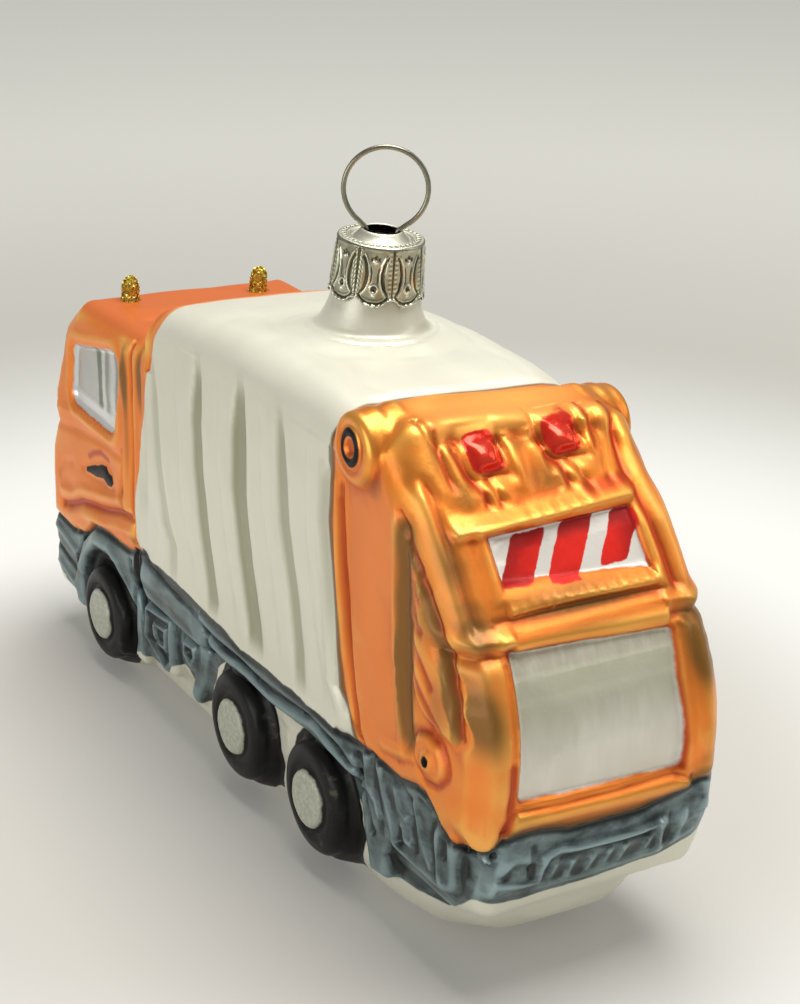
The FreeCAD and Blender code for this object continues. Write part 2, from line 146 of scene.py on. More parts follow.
NECK = [(-3.0, 8.3), (-0.6, 8.0), (0.6, 7.6), (1.3, 7.25), (2.4, 6.75), (3.5, 6.35), (4.9, 5.95), (6.0, 5.65), (7.4, 5.3), (9.0, 5.0), (12.2, 4.95)]

def neck_coords(x, y, z):
    px, py, pz = x - NFOOT[0], y - NFOOT[1], z - NFOOT[2]
    h = px * NAX[0] + py * NAX[1] + pz * NAX[2]
    r = np.sqrt(np.maximum(px * px + py * py + pz * pz - h * h, 0))
    return r, h

def tyre(ax, yn, z, y0, z0, r0):
    """Cone with its axis across the truck, swelling towards its foot."""
    r = np.hypot(yn - y0, z - z0)
    t = np.clip((19.2 - ax) / 5.0, 0, 1.4)
    rc = 6.45 + (r0 - 6.45) * (0.35 * t + 0.65 * np.sqrt(np.maximum(t, 1e-4)))
    side = (r - rc) * 0.86
    return both(side, ax - 19.2, 0.8)

def sag(x, yn, z):
    """The barrel's right end sits lower than its left one, the way the glass was blown."""
    return 2.3 * np.clip((9.0 - x) / 26.0, 0, 1) * sstep(yn, 16, 25) * sstep(z, 54, 62)

def body_parts(x, y, z):
    yn, ax = y - SY, np.abs(x)
    # container
    hw = curve([(-38.3, 17.4), (-36, 18.3), (-30, 18.7), (0, 18.8), (27, 18.6)], yn)
    top = curve([(-38.3, 62.6), (-35, 64.4), (-30, 65.6), (-20, 67.0), (-8, 67.8), (0, 68.0), (14, 67.9), (30, 66.6)], yn)
    top = top + 1.1 * (1 - sstep(np.hypot(x, yn + 2.1), 7.8, 13.5)) - 0.5 * sstep(-x, 4.0, 16.0) * (1 - sstep(yn, -26, -10)) - 0.0012 * ax * ax - 0.042 * np.maximum(11.0 - x, 0) - 0.3 * sag(x, yn, z + 8)
    box = both(rrect(ax, z, hw, 22.0, top, 6.2 - 1.3 * np.tanh(x / 5.0), 1.0), np.maximum(-38.3 - yn, yn - 26.0), 3.4)
    cab = prism(poly2(yn, z + 0.036 * np.maximum(12.0 - x, 0) * sstep(z, 36, 56), CAB) - 2.4, ax, 18.2, 3.4 - 0.9 * sstep(-x, 0.0, 8.0))
    # the cab's sides lean in a little towards the roof
    zg = z + sag(x, yn, z)
    gate = prism(poly2(yn, zg, GATE) - 3.0, ax, 18.1, 5.2)
    band = prism(poly2(yn, zg, BAND) - 1.4, ax, 15.4, 2.2)
    dm = np.hypot(yn - 27.2, zg - 64.0)
    mid = smin(both(dm - 4.0, ax - 18.6, 0.9), band, 1.2)
    rc = 4.85 + 0.16 * np.cos((ax - 16.2) * 2.1) * (ax > 12.0)
    collar = both(np.hypot(yn - 27.0, zg - 63.5) - rc, np.maximum(ax - 19.2, 12.0 - ax), 1.6)
    chas = prism(poly2(yn, z, CHAS) - 2.6, ax, 16.2, 2.6)
    # belly: a rounded boat
    bw = curve([(-74, 7), (-66, 11), (-56, 13.6), (-44, 15.0), (-12, 15.6), (28, 15.8), (38, 14.6), (46, 12.6), (52, 9)], yn)
    bz = curve([(-74, 9), (-70, 4.6), (-61, 1.6), (-50, 0.3), (-44, 0.0), (32, 0.0), (39, 0.8), (46, 3.4), (51, 7.0), (55, 11)], yn)
    belly = both(rrect(ax, z, bw, bz, 24.0, 1.0, 7.0), np.maximum(-72.5 - yn, yn - 53.5), 3.0)
    return yn, ax, box, cab, gate, mid, collar, chas, belly

def side_boxes(ax, yn, z):
    """Tank, boxes, mudguards and rails along the chassis."""
    d = np.full(ax.shape, 1e9, F4)
    rows = [  # y0, y1, z0, z1, half width, corner radius
        (-39.6, -17.6, 17.4, 24.6, 18.5, 2.4),   # tank
        (-41.0, -30.0, 7.2, 17.0, 17.4, 1.8),    # battery box
        (-28.0, -22.8, 10.8, 16.2, 17.0, 1.2),   # tool box
        (-17.0, 27.0, 18.2, 24.2, 18.0, 1.6),    # rail over the rear wheels
        (29.0, 50.6, 13.0, 24.4, 17.7, 2.4),     # rear skirt
        (-76.0, -64.8, 7.0, 20.0, 17.6, 3.0),    # bumper's side
    ]
    for y0, y1, z0, z1, hw, r in rows:
        u, v = np.abs(yn - (y0 + y1) / 2) - (y1 - y0) / 2 + r, np.abs(z - (z0 + z1) / 2) - (z1 - z0) / 2 + r
        d2 = np.hypot(np.maximum(u, 0), np.maximum(v, 0)) + np.minimum(np.maximum(u, v), 0) - r
        d = smin(d, prism(d2, ax, hw, min(r, 1.3)), 0.8)
    for pts, hw in (([(-20.0, 17.8), (-20.4, 12.0), (-24.4, 6.6), (-25.4, 7.4), (-23.0, 12.4), (-22.4, 17.8)], 16.8),      # mudflap
                    ([(26.6, 22.6), (27.4, 14.4), (29.6, 6.8), (33.0, 7.4), (32.8, 10.3), (35.2, 15.0), (35.4, 22.6)], 17.3)):
        d = smin(d, prism(poly2(ax * 0 + yn, z, pts) - 0.6, ax, hw, 1.0), 0.8)
    # arch over the front wheel
    rr = np.hypot(yn + 53.8, z - 9.3)
    ring = np.maximum(np.abs(rr - 11.9) - 1.9, (9.3 - 3.6) - z)
    d = smin(d, prism(ring, ax, 17.9, 1.1), 0.7)
    return d

def base_sdf(x, y, z):
    yn, ax, box, cab, gate, mid, collar, chas, belly = body_parts(x, y, z)
    d = smin(box, cab, 1.0)
    g = smin(smin(gate, mid, 1.6), collar, 0.8)
    d = smin(d, g, 0.7)
    low = smin(chas, side_boxes(ax, yn, z), 0.8)
    d = smin(d, low, 0.9)
    d = smin(d, belly, 1.2)
    for wy, wz, r0 in WHEELS:
        d = smin(d, tyre(ax, yn, z, wy, wz, r0), 0.4)
    r, h = neck_coords(x, y, z)
    prof = np.interp(h, [a for a, b in NECK], [b for a, b in NECK]).astype(F4)
    neck = both((r - prof) * 0.9, np.maximum(h - 12.2, -3.0 - h), 0.3)
    d = smin(d, neck, 1.0)
    return d, yn, ax

def relief(x, y, z, yn, ax):
    """How far the surface stands out (+) or is pressed in (-), mm, by the face it is on."""
    h = np.zeros(x.shape, F4)

    def put(m, fn):
        i = np.nonzero(m)[0]
        if len(i):
            h[i] += fn(x[i], yn[i], z[i], ax[i])

    def line(u, v, pts, w):
        return bump(seg(u, v, pts), w)

    # ---------------- container's ribbed sides, running over the roof's edge
    def ribs(x, yn, z, ax):
        o = np.zeros(x.shape, F4)
        low = sstep(z, 23.5, 30.0) * sstep(ax, 9.0, 15.0)
        for k, g in enumerate(GROOVES):
            c = np.interp(z, [b for a, b in g], [a for a, b in g])
            w = GROOVE_W[k] * (1 - 0.5 * sstep(z, g[-1][1] - 10.0, g[-1][1] - 1.0))
            end = low * (1 - 0.9 * sstep(z, g[-1][1] - 5.5, g[-1][1] + 0.5))
            o -= GROOVE_D[k] * (1 - sstep(np.abs(yn - c), w * 0.45, w + 0.9)) * end
            o += 0.12 * bump(np.abs(yn - c) - w - 1.9, 1.1) * end
        end = low
        for g in RIBS:
            c = np.interp(z, [b for a, b in g], [a for a, b in g])
            o -= 0.10 * bump(yn - c, 0.6) * end * (1 - sstep(z, 58, 63))
            o += 0.06 * bump(yn - c - 1.3, 0.6) * end * (1 - sstep(z, 58, 63))
        e = np.interp(z, [24.9, 29.8, 39.2, 47.0, 52.2, 59.0], [27.3, 24.0, 22.8, 21.7, 21.1, 21.6])
        o -= 0.45 * bump(yn - e + 1.3, 0.55) * end * (1 - sstep(z, 58, 60))
        o += 0.3 * bump(yn - e + 3.0, 0.8) * end * (1 - sstep(z, 58, 60))
        return o
    put((yn > -40) & (yn < 26) & (z > 25) & (z < 69) & (ax > 10), ribs)

    # scallops where the ribs turn onto the roof, and hand-blown waves on the roof
    def roof(x, yn, z, ax):
        o = np.zeros(x.shape, F4)
        o += -0.10 * bump(ax - 11.0 - 0.5 * np.sin(yn * 0.5), 0.9) * sstep(yn, -34, -28) * (1 - sstep(yn, 18, 21))
        o -= 0.3 * bump(yn - 21.6, 0.8) * (1 - sstep(ax, 12, 15))
        # the neck's foot: a low rim and a crease outside it, stronger towards the rear
        r, a = np.hypot(x, yn + 2.1), np.arctan2(x, yn + 2.1)
        m = 0.55 + 0.45 * np.cos(a)
        o += 0.13 * bump(r - 8.5 - 0.12 * np.sin(a * 3), 0.35) * m - 0.16 * bump(r - 9.15 - 0.12 * np.sin(a * 3), 0.25) * m
        o += 0.05 * waves(x, yn, z, 0.55, 21) * sstep(r, 9, 13)
        return o
    put((yn > -40) & (yn < 24) & (z > 62.0), roof)

    # ---------------- cab sides
    def cabside(x, yn, z, ax):
        o = np.zeros(x.shape, F4)
        w = poly2(yn, z, WINDOW) - 2.4
        o -= 0.8 * (1 - sstep(w, -0.9, 0.15))
        o += 0.45 * bump(w - 1.2, 0.8)
        # window frame's knurled edge
        o += 0.045 * bump(w - 0.2, 0.6) * np.sin(yn * 5.1 + z * 3.3)
        o -= 0.65 * line(yn, z, [(-41.7, 56.9), (-42.0, 43.6), (-42.2, 31.0), (-41.6, 26.0)], 0.5)
        o += 0.3 * line(yn, z, [(-39.9, 57.5), (-40.2, 43.6), (-40.6, 27.0)], 0.7)
        o += 0.28 * line(yn, z, [(-44.0, 55.0), (-44.6, 40.0), (-44.6, 30.0)], 0.8)
        o -= 0.35 * line(yn, z, [(-46.0, 39.0), (-46.4, 33.0), (-46.0, 30.5)], 0.5)
        # belt line, door recess, handle and the step line
        o -= 0.22 * line(yn, z, [(-72.0, 35.4), (-64.3, 36.6), (-56, 37.6), (-47, 37.8)], 0.8)
        o += 0.22 * line(yn, z, [(-71.0, 38.4), (-64.3, 39.4)], 0.8)
        o -= 0.28 * (1 - sstep(poly2(yn, z, [(-61.8, 31.2), (-54.0, 36.0), (-50.0, 35.2), (-49.0, 31.0), (-53.0, 30.4)]), -1.0, 1.6))
        o += 0.34 * (1 - sstep(poly2(yn, z, HANDLE), -0.8, 0.6))
        o -= 0.6 * line(yn, z, [(-70.5, 22.0), (-67.3, 22.8), (-62.5, 25.0), (-58.2, 25.9), (-54.5, 26.5), (-50.8, 27.5), (-47.5, 28.5), (-41.9, 29.3)], 0.7)
        o += 0.42 * line(yn, z, [(-70.5, 24.4), (-66.0, 25.2), (-62.0, 27.2), (-58.0, 28.1), (-54.0, 28.8), (-49.5, 30.0), (-46.0, 31.0)], 0.9)
        o += 0.35 * line(yn, z, [(-68.0, 20.4), (-62.5, 22.7), (-58.0, 23.6), (-53.5, 24.3), (-49.0, 25.6), (-43.0, 26.6)], 0.9)
        # folds in the lower corner, fore of the wheel arch
        o -= 0.18 * line(yn, z, [(-71.5, 27.0), (-69.0, 29.5), (-66.0, 30.5)], 0.8)
        # edge where orange meets grey
        o -= 0.45 * bump(z - grey_edge(yn), 0.55)
        o *= 1 - sstep(yn, -39.0, -36.6)
        return o
    put((yn < -36) & (ax > 14.5) & (z > 15.5), cabside)

    # ---------------- cab roof and front
    def cabroof(x, yn, z, ax):
        o = 0.3 * bump(yn + 43.5, 1.6) * (1 - sstep(ax, 13, 16)) - 0.3 * bump(yn + 47.4, 1.2) * (1 - sstep(ax, 12, 15))
        o += 0.2 * bump(yn + 52.5, 2.0) * (1 - sstep(ax, 12, 15)) - 0.22 * bump(yn + 61.8, 0.9) * (1 - sstep(ax, 14, 16.5))
        o -= 0.45 * bump(yn + 34.6, 0.8)
        return o
    put((yn < -33) & (z > 55.0), cabroof)

    def front(x, yn, z, ax):
        o = np.zeros(x.shape, F4)
        w = screen(ax, z)
        o -= 0.7 * (1 - sstep(w, -0.8, 0.2))
        o += 0.4 * bump(w - 1.1, 0.75)
        # wipers: two thin raised lines low on the screen
        o += 0.28 * line(x, z, [(-9.0, 40.6), (-2.4, 43.8)], 0.32) + 0.28 * line(x, z, [(1.4, 40.6), (8.0, 43.8)], 0.32)
        # grille: three long slots under the screen
        for zz, half in ((34.4, 10.6), (31.6, 10.2), (28.8, 9.6)):
            o -= 0.55 * bump(z - zz, 0.55) * (1 - sstep(ax, half - 0.8, half + 0.2))
        o += 0.3 * bump(np.maximum(np.abs(z - 31.6) - 4.6, ax - 11.8), 0.7)
        o -= 0.45 * bump(z - 24.8, 0.6)
        o -= 0.4 * bump(z - grey_edge(yn), 0.5)
        # head lamps in the bumper, and its air slot
        r = np.hypot((ax - 11.8) * 0.8, z - 14.4)
        o += 0.55 * (1 - sstep(r, 1.6, 2.5)) - 0.3 * bump(r - 2.9, 0.45)
        s = np.maximum(np.abs(z - 14.0) - 1.5, ax - 7.2)
        o -= 0.5 * (1 - sstep(s, -0.5, 0.4))
        for k in range(-3, 4):
            o += 0.35 * bump(x - k * 2.05, 0.3) * (s < 0.2)
        return o
    put((yn < -66) & (ax < 17), front)

    # ---------------- tailgate's rear
    def rear(x, yn, z, ax):
        o = np.zeros(x.shape, F4)
        # side columns with their inner grooves
        cl = np.interp(z, [24, 33, 36.6, 45, 47.6, 62.8], [14.8, 14.3, 13.9, 13.4, 15.0, 15.0])
        cr = np.interp(z, [24, 31, 39, 44, 48.3, 51.7, 55.6, 59.0, 63.2, 67.3], [-12.4, -12.0, -11.4, -12.2, -13.2, -13.1, -12.6, -12.2, -13.1, -15.7])
        o -= 0.42 * bump(x - cl, 0.7) * sstep(z, 47.0, 48.4) * (1 - sstep(z, 61.5, 63.5))
        o -= 0.42 * bump(x - cr, 0.75) * sstep(z, 47.0, 48.4) * (1 - sstep(z, 64.0, 66.5))
        o += 0.55 * bump(x - (cl + 17.6) / 2, 1.15) * (1 - sstep(z, 60.5, 63))
        o += 0.55 * bump(x - (cr - 17.2) / 2, 1.25) * (1 - sstep(z, 62.5, 65))
        # ledges where the columns bend
        for x0, x1, z0, z1 in ((17.6, 12.4, 46.6, 46.9), (-11.0, -16.4, 47.2, 46.6)):
            lz = z0 + (z1 - z0) * (x - x0) / (x1 - x0)
            m = sstep(np.abs(x), 10.4, 11.4)
            o += 0.5 * bump(z - lz - 0.1, 0.7) * m * ((x > 0) == (x0 > 0))
            o -= 0.55 * bump(z - lz + 1.7, 0.7) * m * ((x > 0) == (x0 > 0))
        # crease behind the barrel's band
        m = sstep(x, -9.4, -8.0) * (1 - sstep(x, 11.6, 12.8))
        o -= 0.45 * bump((yn - 35.2) + 0.25 * np.sin(x * 0.8), 0.8) * m * (z > 63)
        for x0, k in ((12.3, 1.0), (-9.9, 0.8), (-13.4, 0.7)):
            o -= 0.34 * k * bump(x - x0 - 0.18 * (z - 64.0) * np.sign(x0) + 0.1 * np.sin(z * 1.1), 0.6) * sstep(z, 60.5, 62.5)
            o += 0.14 * k * bump(x - x0 + 1.2 * np.sign(x0) - 0.18 * (z - 64.0) * np.sign(x0), 0.8) * sstep(z, 60.5, 62.5)
        # two square lamps, proud of the face
        for x0, x1, z0, z1 in ((4.4, 8.4, 62.5, 65.9), (-7.4, -3.2, 62.7, 66.0)):
            q = smax(np.abs(x - (x0 + x1) / 2) - (x1 - x0) / 2 + 0.3, np.abs(z - (z0 + z1) / 2) - (z1 - z0) / 2 + 0.3, 0.9)
            o += 1.0 * (1 - sstep(q, -0.9, 0.6)) + 0.25 * (1 - sstep(q, -1.9, -0.6))
            o -= 0.28 * bump(q - 1.2, 0.5)
            o += 0.22 * bump(q - 2.3, 0.9) * (z < 65.5)
        for pts, w, a in (
            ([(9.9, 66.0), (10.5, 64.8), (10.2, 63.8), (9.9, 62.5), (8.7, 61.3), (8.2, 60.3), (8.2, 59.5)], 0.45, 0.5),
            ([(6.8, 61.4), (6.5, 60.4), (6.3, 59.5)], 0.38, 0.42),
            ([(4.4, 63.7), (3.0, 65.0), (1.4, 65.3), (-0.8, 65.5)], 0.5, 0.45),
            ([(-2.0, 66.0), (-1.7, 64.4), (-2.4, 62.6), (-3.7, 61.4), (-3.9, 59.8)], 0.42, 0.5),
            ([(-5.2, 61.6), (-6.0, 61.0), (-6.2, 60.1), (-6.8, 59.0)], 0.38, 0.42),
            ([(-7.4, 63.7), (-8.9, 64.3), (-10.7, 64.0)], 0.5, 0.4),
            ([(-11.2, 65.6), (-10.8, 62.4), (-9.8, 60.4), (-9.9, 59.2)], 0.42, 0.35),
            ([(14.4, 61.0), (13.2, 59.4)], 0.5, 0.3),
        ):
            o -= 0.5 * a * line(x, z, pts, w * 1.45)
        for pts, w, a in (
            ([(9.2, 64.6), (9.0, 62.4), (7.5, 60.4), (7.3, 59.4)], 0.5, 0.3), ([(5.6, 60.6), (5.0, 59.3)], 0.6, 0.3),
            ([(3.3, 62.6), (2.6, 62.4)], 1.0, 0.4), ([(-1.0, 63.4), (0.8, 63.2), (2.2, 63.4)], 0.9, 0.22),
            ([(-2.9, 61.0), (-3.0, 59.4)], 0.45, 0.3), ([(-5.0, 60.6), (-5.4, 59.2)], 0.55, 0.3),
            ([(-8.0, 62.6), (-9.4, 62.4)], 0.9, 0.3), ([(12.0, 64.8), (11.8, 61.8), (10.8, 59.8)], 0.8, 0.25),
        ):
            o += 0.55 * a * line(x, z, pts, w * 1.4)
        # ridge above the striped panel, its middle rolled like a rope
        rz = 57.9 - 0.03 * (x - 1.0)
        m = sstep(x, -13.0, -11.6) * (1 - sstep(x, 13.8, 15.0))
        o += 0.8 * bump(z - rz, 0.8) * m
        o += 0.045 * bump(z - rz, 0.8) * np.sin(x * 3.1 + (z - rz) * 1.5) * (1 - sstep(ax, 5, 7))
        # striped panel and its frame
        q = sign_box(x, z)
        o -= 0.7 * (1 - sstep(q, -0.25, 0.6))
        o += 0.36 * bump(q - 1.3, 0.75)
        # corrugated bar and the step under it
        m = sstep(x, -12.2, -11.2) * (1 - sstep(x, 9.8, 10.8))
        o += 0.5 * bump(z - 49.5 + 0.02 * x, 0.75) * m
        o += 0.05 * bump(z - 49.5 + 0.02 * x, 0.6) * np.sin(x * 3.9 + 1.0) * m
        m = sstep(x, -11.8, -10.8) * (1 - sstep(x, 12.4, 13.4))
        o -= 0.3 * bump(z - 48.2, 0.55) * m
        o += 0.32 * bump(z - 47.4, 0.6) * m + 0.3 * bump(z - 46.3, 0.9) * m
        # hopper panel, bulging between the columns
        q = hopper(x, z)
        o -= 0.75 * (1 - sstep(q, -0.3, 0.6))
        o += 0.7 * (1 - sstep(q, -9.0, 0.4))
        o += 0.4 * bump(q - 1.5, 0.9)
        o += np.interp(z, FACE_Z, FACE_D) * (yn > 40)
        # rolled lip under the panel
        m = sstep(x, -13.2, -11.0) * (1 - sstep(x, 13.6, 15.6))
        o += 0.8 * bump(z - 25.2 - 0.04 * x, 1.25) * m
        o -= 0.5 * line(x, z, [(14.6, 24.6), (13.4, 27.3), (7.0, 26.9), (-1.6, 26.6), (-9.3, 26.6), (-12.0, 25.6)], 0.42)
        o -= 0.42 * line(x, z, [(14.6, 24.0), (14.2, 27.0), (14.0, 30.3), (13.9, 33.0), (13.4, 40.0), (12.8, 44.0)], 0.5)
        o -= 0.35 * line(x, z, [(-12.4, 25.0), (-12.0, 31.0), (-11.4, 39.0), (-12.0, 44.0)], 0.5)
        # edge where orange meets grey
        o -= 0.35 * bump(z - low_edge(x), 0.5)
        o *= 1 - (1 - sstep((yn - 30.0) * 0.8 + (z - 66.5) * 0.6, -6.0, -2.5)) * sstep(z, 34, 38)
        o *= 1 - 0.85 * sstep(ax, 17.0, 18.2)
        return o
    put((ax < 18.3) & (z > 20.5) & ((yn - 30.0) * 0.8 + (z - 66.5) * 0.6 > -7.5) & (yn > 31.5), rear)

    # ---------------- tailgate's sides
    def gside(x, yn, z, ax):
        o = np.zeros(x.shape, F4)
        # groove down the front edge
        c = np.interp(z, [24.1, 26.2, 31.2, 38.9, 47.8, 55.6, 60], [29.1, 27.6, 26.2, 24.7, 23.8, 23.3, 23.4])
        o -= 0.6 * bump(yn - c, 0.5) * sstep(z, 24, 25) * (1 - sstep(z, 57, 59))
        o += 0.25 * bump(yn - c + 1.2, 0.6) * sstep(z, 24, 25) * (1 - sstep(z, 57, 59))
        # upright furrow behind the plate
        l = np.interp(z, [29.8, 34.8, 39.8, 47.5, 54.6], [39.3, 38.4, 37.5, 37.1, 36.9])
        r = np.interp(z, [30.4, 35.5, 43.6, 48.7, 55.4], [40.8, 40.1, 40.3, 40.1, 39.2])
        m = sstep(z, 27.5, 30.5) * (1 - sstep(z, 56.5, 59.5))
        o -= 0.75 * bump(yn - (l + r) / 2, 1.15) * m
        o += 0.3 * bump(yn - l + 0.9, 0.7) * m
        # crease where the side turns into the rear column
        o -= 0.6 * line(yn, z, [(36.6, 58.6), (38.1, 56.3), (40.3, 54.5), (42.7, 51.6), (45.2, 48.9), (47.4, 46.1), (49.2, 42.9), (50.8, 39.4), (51.8, 35.6)], 0.6)
        # scalloped leaf
        q = poly2(yn, z, LEAF) + 0.45 * np.sin(z * 1.15 + 0.6) * sstep(yn, 42.5, 45.0)
        o += 0.62 * (1 - sstep(q, -1.8, 0.5)) - 0.22 * bump(q - 0.9, 0.7)
        for pts in LEAF_CUTS:
            o -= 0.30 * line(yn, z, pts, 0.65)
            o += 0.10 * line(yn, z - 1.3, pts, 0.9)
        # boss with its ring and hole
        q = poly2(yn, z, BOSS) - 1.5
        o += 0.45 * (1 - sstep(q, -0.8, 0.5)) - 0.3 * bump(q - 0.8, 0.5)
        r = np.hypot(yn - 45.1, (z - 29.7) * 1.05)
        o += 0.3 * (1 - sstep(r, 0.8, 2.0)) - 0.12 * bump(r - 2.1, 0.4) - 0.7 * (1 - sstep(r, 0.2, 0.8))
        # lower folds, next to the skirt
        o -= 0.3 * line(yn, z, [(33.5, 25.0), (38.0, 26.0), (41.0, 27.2)], 0.5)
        o += 0.25 * line(yn, z, [(33.5, 26.5), (38.5, 27.6)], 0.7)
        o -= 0.4 * bump(z - low_side(yn), 0.5)
        o *= sstep(ax, 13.6, 15.6) * (1 - sstep((yn - 30.0) * 0.8 + (z - 66.5) * 0.6, 1.4, 3.2))
        return o
    put((yn > 22.2) & (yn < 56) & (ax > 12.6) & (z > 19.5) & (z < 64) & ((yn - 30.0) * 0.8 + (z - 66.5) * 0.6 < 3.4), gside)

    # barrel's ends: a flat washer with a ring and a centre
    def ends(x, yn, z, ax):
        r = np.hypot((yn - 26.9) * 1.12, z + sag(x, yn, z) - 63.8)
        return (0.3 * bump(r - 1.9, 0.5) - 0.25 * (1 - sstep(r, 0.6, 1.2)) - 0.2 * bump(r - 2.9, 0.45)).astype(F4)
    put((ax > 18.0) & (np.abs(yn - 26.9) < 4.8) & (np.abs(z - 63.8) < 4.8), ends)

    # ---------------- wheels: hub disc with a soft rim, smooth flanks a little uneven
    def wheels(x, yn, z, ax):
        o = np.zeros(x.shape, F4)
        for k, (wy, wz, r0) in enumerate(WHEELS):
            r = np.hypot(yn - wy, z - wz)
            m = (r < 11.5)
            face = sstep(ax, 18.0, 18.9)
            t = np.arctan2(z - wz, yn - wy)
            o += m * face * (0.34 * (1 - sstep(r, 3.7, 4.15)) - 0.34 * bump(r - 4.5, 0.4) + 0.12 * bump(r - 3.3, 0.5) + 0.06 * np.cos(t * 5 + k) * bump(r - 2.2, 0.8))
            o += m * (1 - sstep(ax, 17.6, 18.6)) * sstep(r, 6.0, 7.0) * (0.05 * np.sin(t * 7 + 2 * k) + 0.03 * np.sin(t * 13 + ax))
            o -= m * 0.22 * bump(ax - 17.2, 0.5) * (1 - face * 0.5)
        return o
    put((ax > 13.5) & (z < 22), wheels)

    # ---------------- chassis relief
    def chassis(x, yn, z, ax):
        o = np.zeros(x.shape, F4)
        # battery box: square in square; tool box
        q = poly2(yn, z, [(-39.6, 15.4), (-31.4, 16.4), (-31.4, 10.0), (-33.0, 8.4), (-39.6, 11.0)])
        o += 0.45 * bump(q - 0.2, 0.5) - 0.4 * bump(q + 1.3, 0.45)
        q = poly2(yn, z, [(-37.4, 13.9), (-33.2, 14.4), (-33.2, 11.6), (-36.4, 11.0)])
        o += 0.4 * bump(q, 0.45) - 0.35 * bump(q + 1.2, 0.5)
        q = poly2(yn, z, [(-27.0, 15.0), (-24.2, 15.2), (-23.6, 13.8), (-25.0, 12.2), (-27.0, 13.2)])
        o += 0.4 * bump(q, 0.45) - 0.3 * (1 - sstep(q, -1.0, -0.4))
        # tank: long bulge, strap lines and the crease under it
        o += 0.45 * line(yn, z, [(-38.0, 21.6), (-30.0, 21.2), (-21.0, 20.8)], 1.5)
        o -= 0.35 * line(yn, z, [(-40.2, 19.4), (-40.2, 23.4), (-39.0, 24.6), (-30.0, 24.0), (-21.0, 23.4), (-18.4, 22.6)], 0.5)
        o -= 0.55 * line(yn, z, [(-40.0, 19.6), (-38.4, 17.7), (-30.0, 17.7), (-25.0, 17.2), (-19.0, 17.0)], 0.5)
        o += 0.35 * line(yn, z, [(-29.4, 17.2), (-28.8, 11.4)], 0.5)
        # double rail over the two rear wheels
        mid = [(-18.0, 21.6), (-12.3, 20.9), (-4.4, 21.1), (2.5, 20.4), (9.0, 21.2), (15.5, 22.0), (21.8, 20.8), (27.0, 19.0)]
        o -= 0.5 * line(yn, z, mid, 0.42)
        m = (yn > -18) & (yn < 28)
        o += m * (0.35 * line(yn, z - 1.6, mid, 0.7) + 0.35 * line(yn, z + 1.5, mid, 0.65))
        # rear skirt: uprights and the U-shaped tube under them
        for pts in ([(29.3, 22.7), (29.2, 19.2), (31.9, 17.6), (32.9, 16.0)], [(36.7, 21.4), (37.6, 19.4), (39.4, 18.8)],
                    [(38.5, 17.4), (39.5, 15.8), (40.5, 15.8)], [(41.5, 21.8), (42.8, 18.9), (44.4, 16.2), (45.4, 15.3)],
                    [(46.6, 20.5), (46.9, 17.5), (47.4, 14.9), (47.9, 14.0)], [(32.9, 22.8), (33.8, 20.0), (35.4, 17.3), (36.8, 13.9), (40.1, 13.3), (43.8, 13.2), (47.0, 12.8), (48.4, 12.2)]):
            o += 0.42 * line(yn, z, pts, 0.65)
        for pts in ([(27.1, 21.9), (26.8, 17.2), (29.8, 15.1), (30.4, 12.4)], [(31.0, 23.5), (31.8, 19.1), (33.4, 16.3), (33.2, 14.0)],
                    [(36.2, 22.6), (39.0, 22.6), (40.4, 20.6)], [(38.2, 16.6), (38.0, 14.9)], [(40.7, 22.0), (41.1, 18.0), (41.7, 15.5)],
                    [(42.8, 23.0), (45.0, 22.6)], [(46.4, 22.8), (45.6, 19.6), (46.2, 16.9), (46.4, 14.4)], [(48.2, 19.6), (48.2, 18.0)]):
            o -= 0.42 * line(yn, z, pts, 0.6)
        # mudflap
        o += 0.15 * line(yn, z, [(-21.4, 16.0), (-22.0, 11.0)], 0.5)
        o += 0.3 * line(yn, z, [(29.0, 13.0), (30.6, 8.4)], 0.6)
        return o
    put((ax > 13.4) & (yn > -45) & (yn < 52) & (z > 5.6) & (z < 25.5), chassis)

    # front wheel's arch and the steps before it
    def arch(x, yn, z, ax):
        o = np.zeros(x.shape, F4)
        o += 0.5 * line(yn, z, [(-64.4, 13.0), (-62.8, 16.2), (-57.6, 20.2), (-52.3, 21.0), (-49.0, 19.6), (-46.6, 15.4), (-46.0, 10.5), (-46.8, 5.2)], 1.0)
        o -= 0.55 * line(yn, z, [(-66.4, 13.6), (-64.4, 17.8), (-58.0, 22.4)], 0.5)
        o -= 0.6 * line(yn, z, [(-44.4, 21.4), (-43.6, 17.2), (-43.6, 11.0), (-44.4, 6.4)], 0.6)
        o -= 0.5 * line(yn, z, [(-42.0, 23.8), (-41.2, 19.6), (-40.4, 17.0)], 0.6)
        o += 0.4 * line(yn, z, [(-74.8, 16.6), (-70.0, 15.4), (-67.2, 14.6)], 0.8)
        o -= 0.4 * line(yn, z, [(-75.0, 13.4), (-70.4, 12.2), (-67.2, 11.6)], 0.5)
        o += 0.35 * line(yn, z, [(-74.6, 10.4), (-67.6, 8.8)], 0.7)
        return o
    put((ax > 13.4) & (yn < -40) & (z > 4.5) & (z < 24.5), arch)

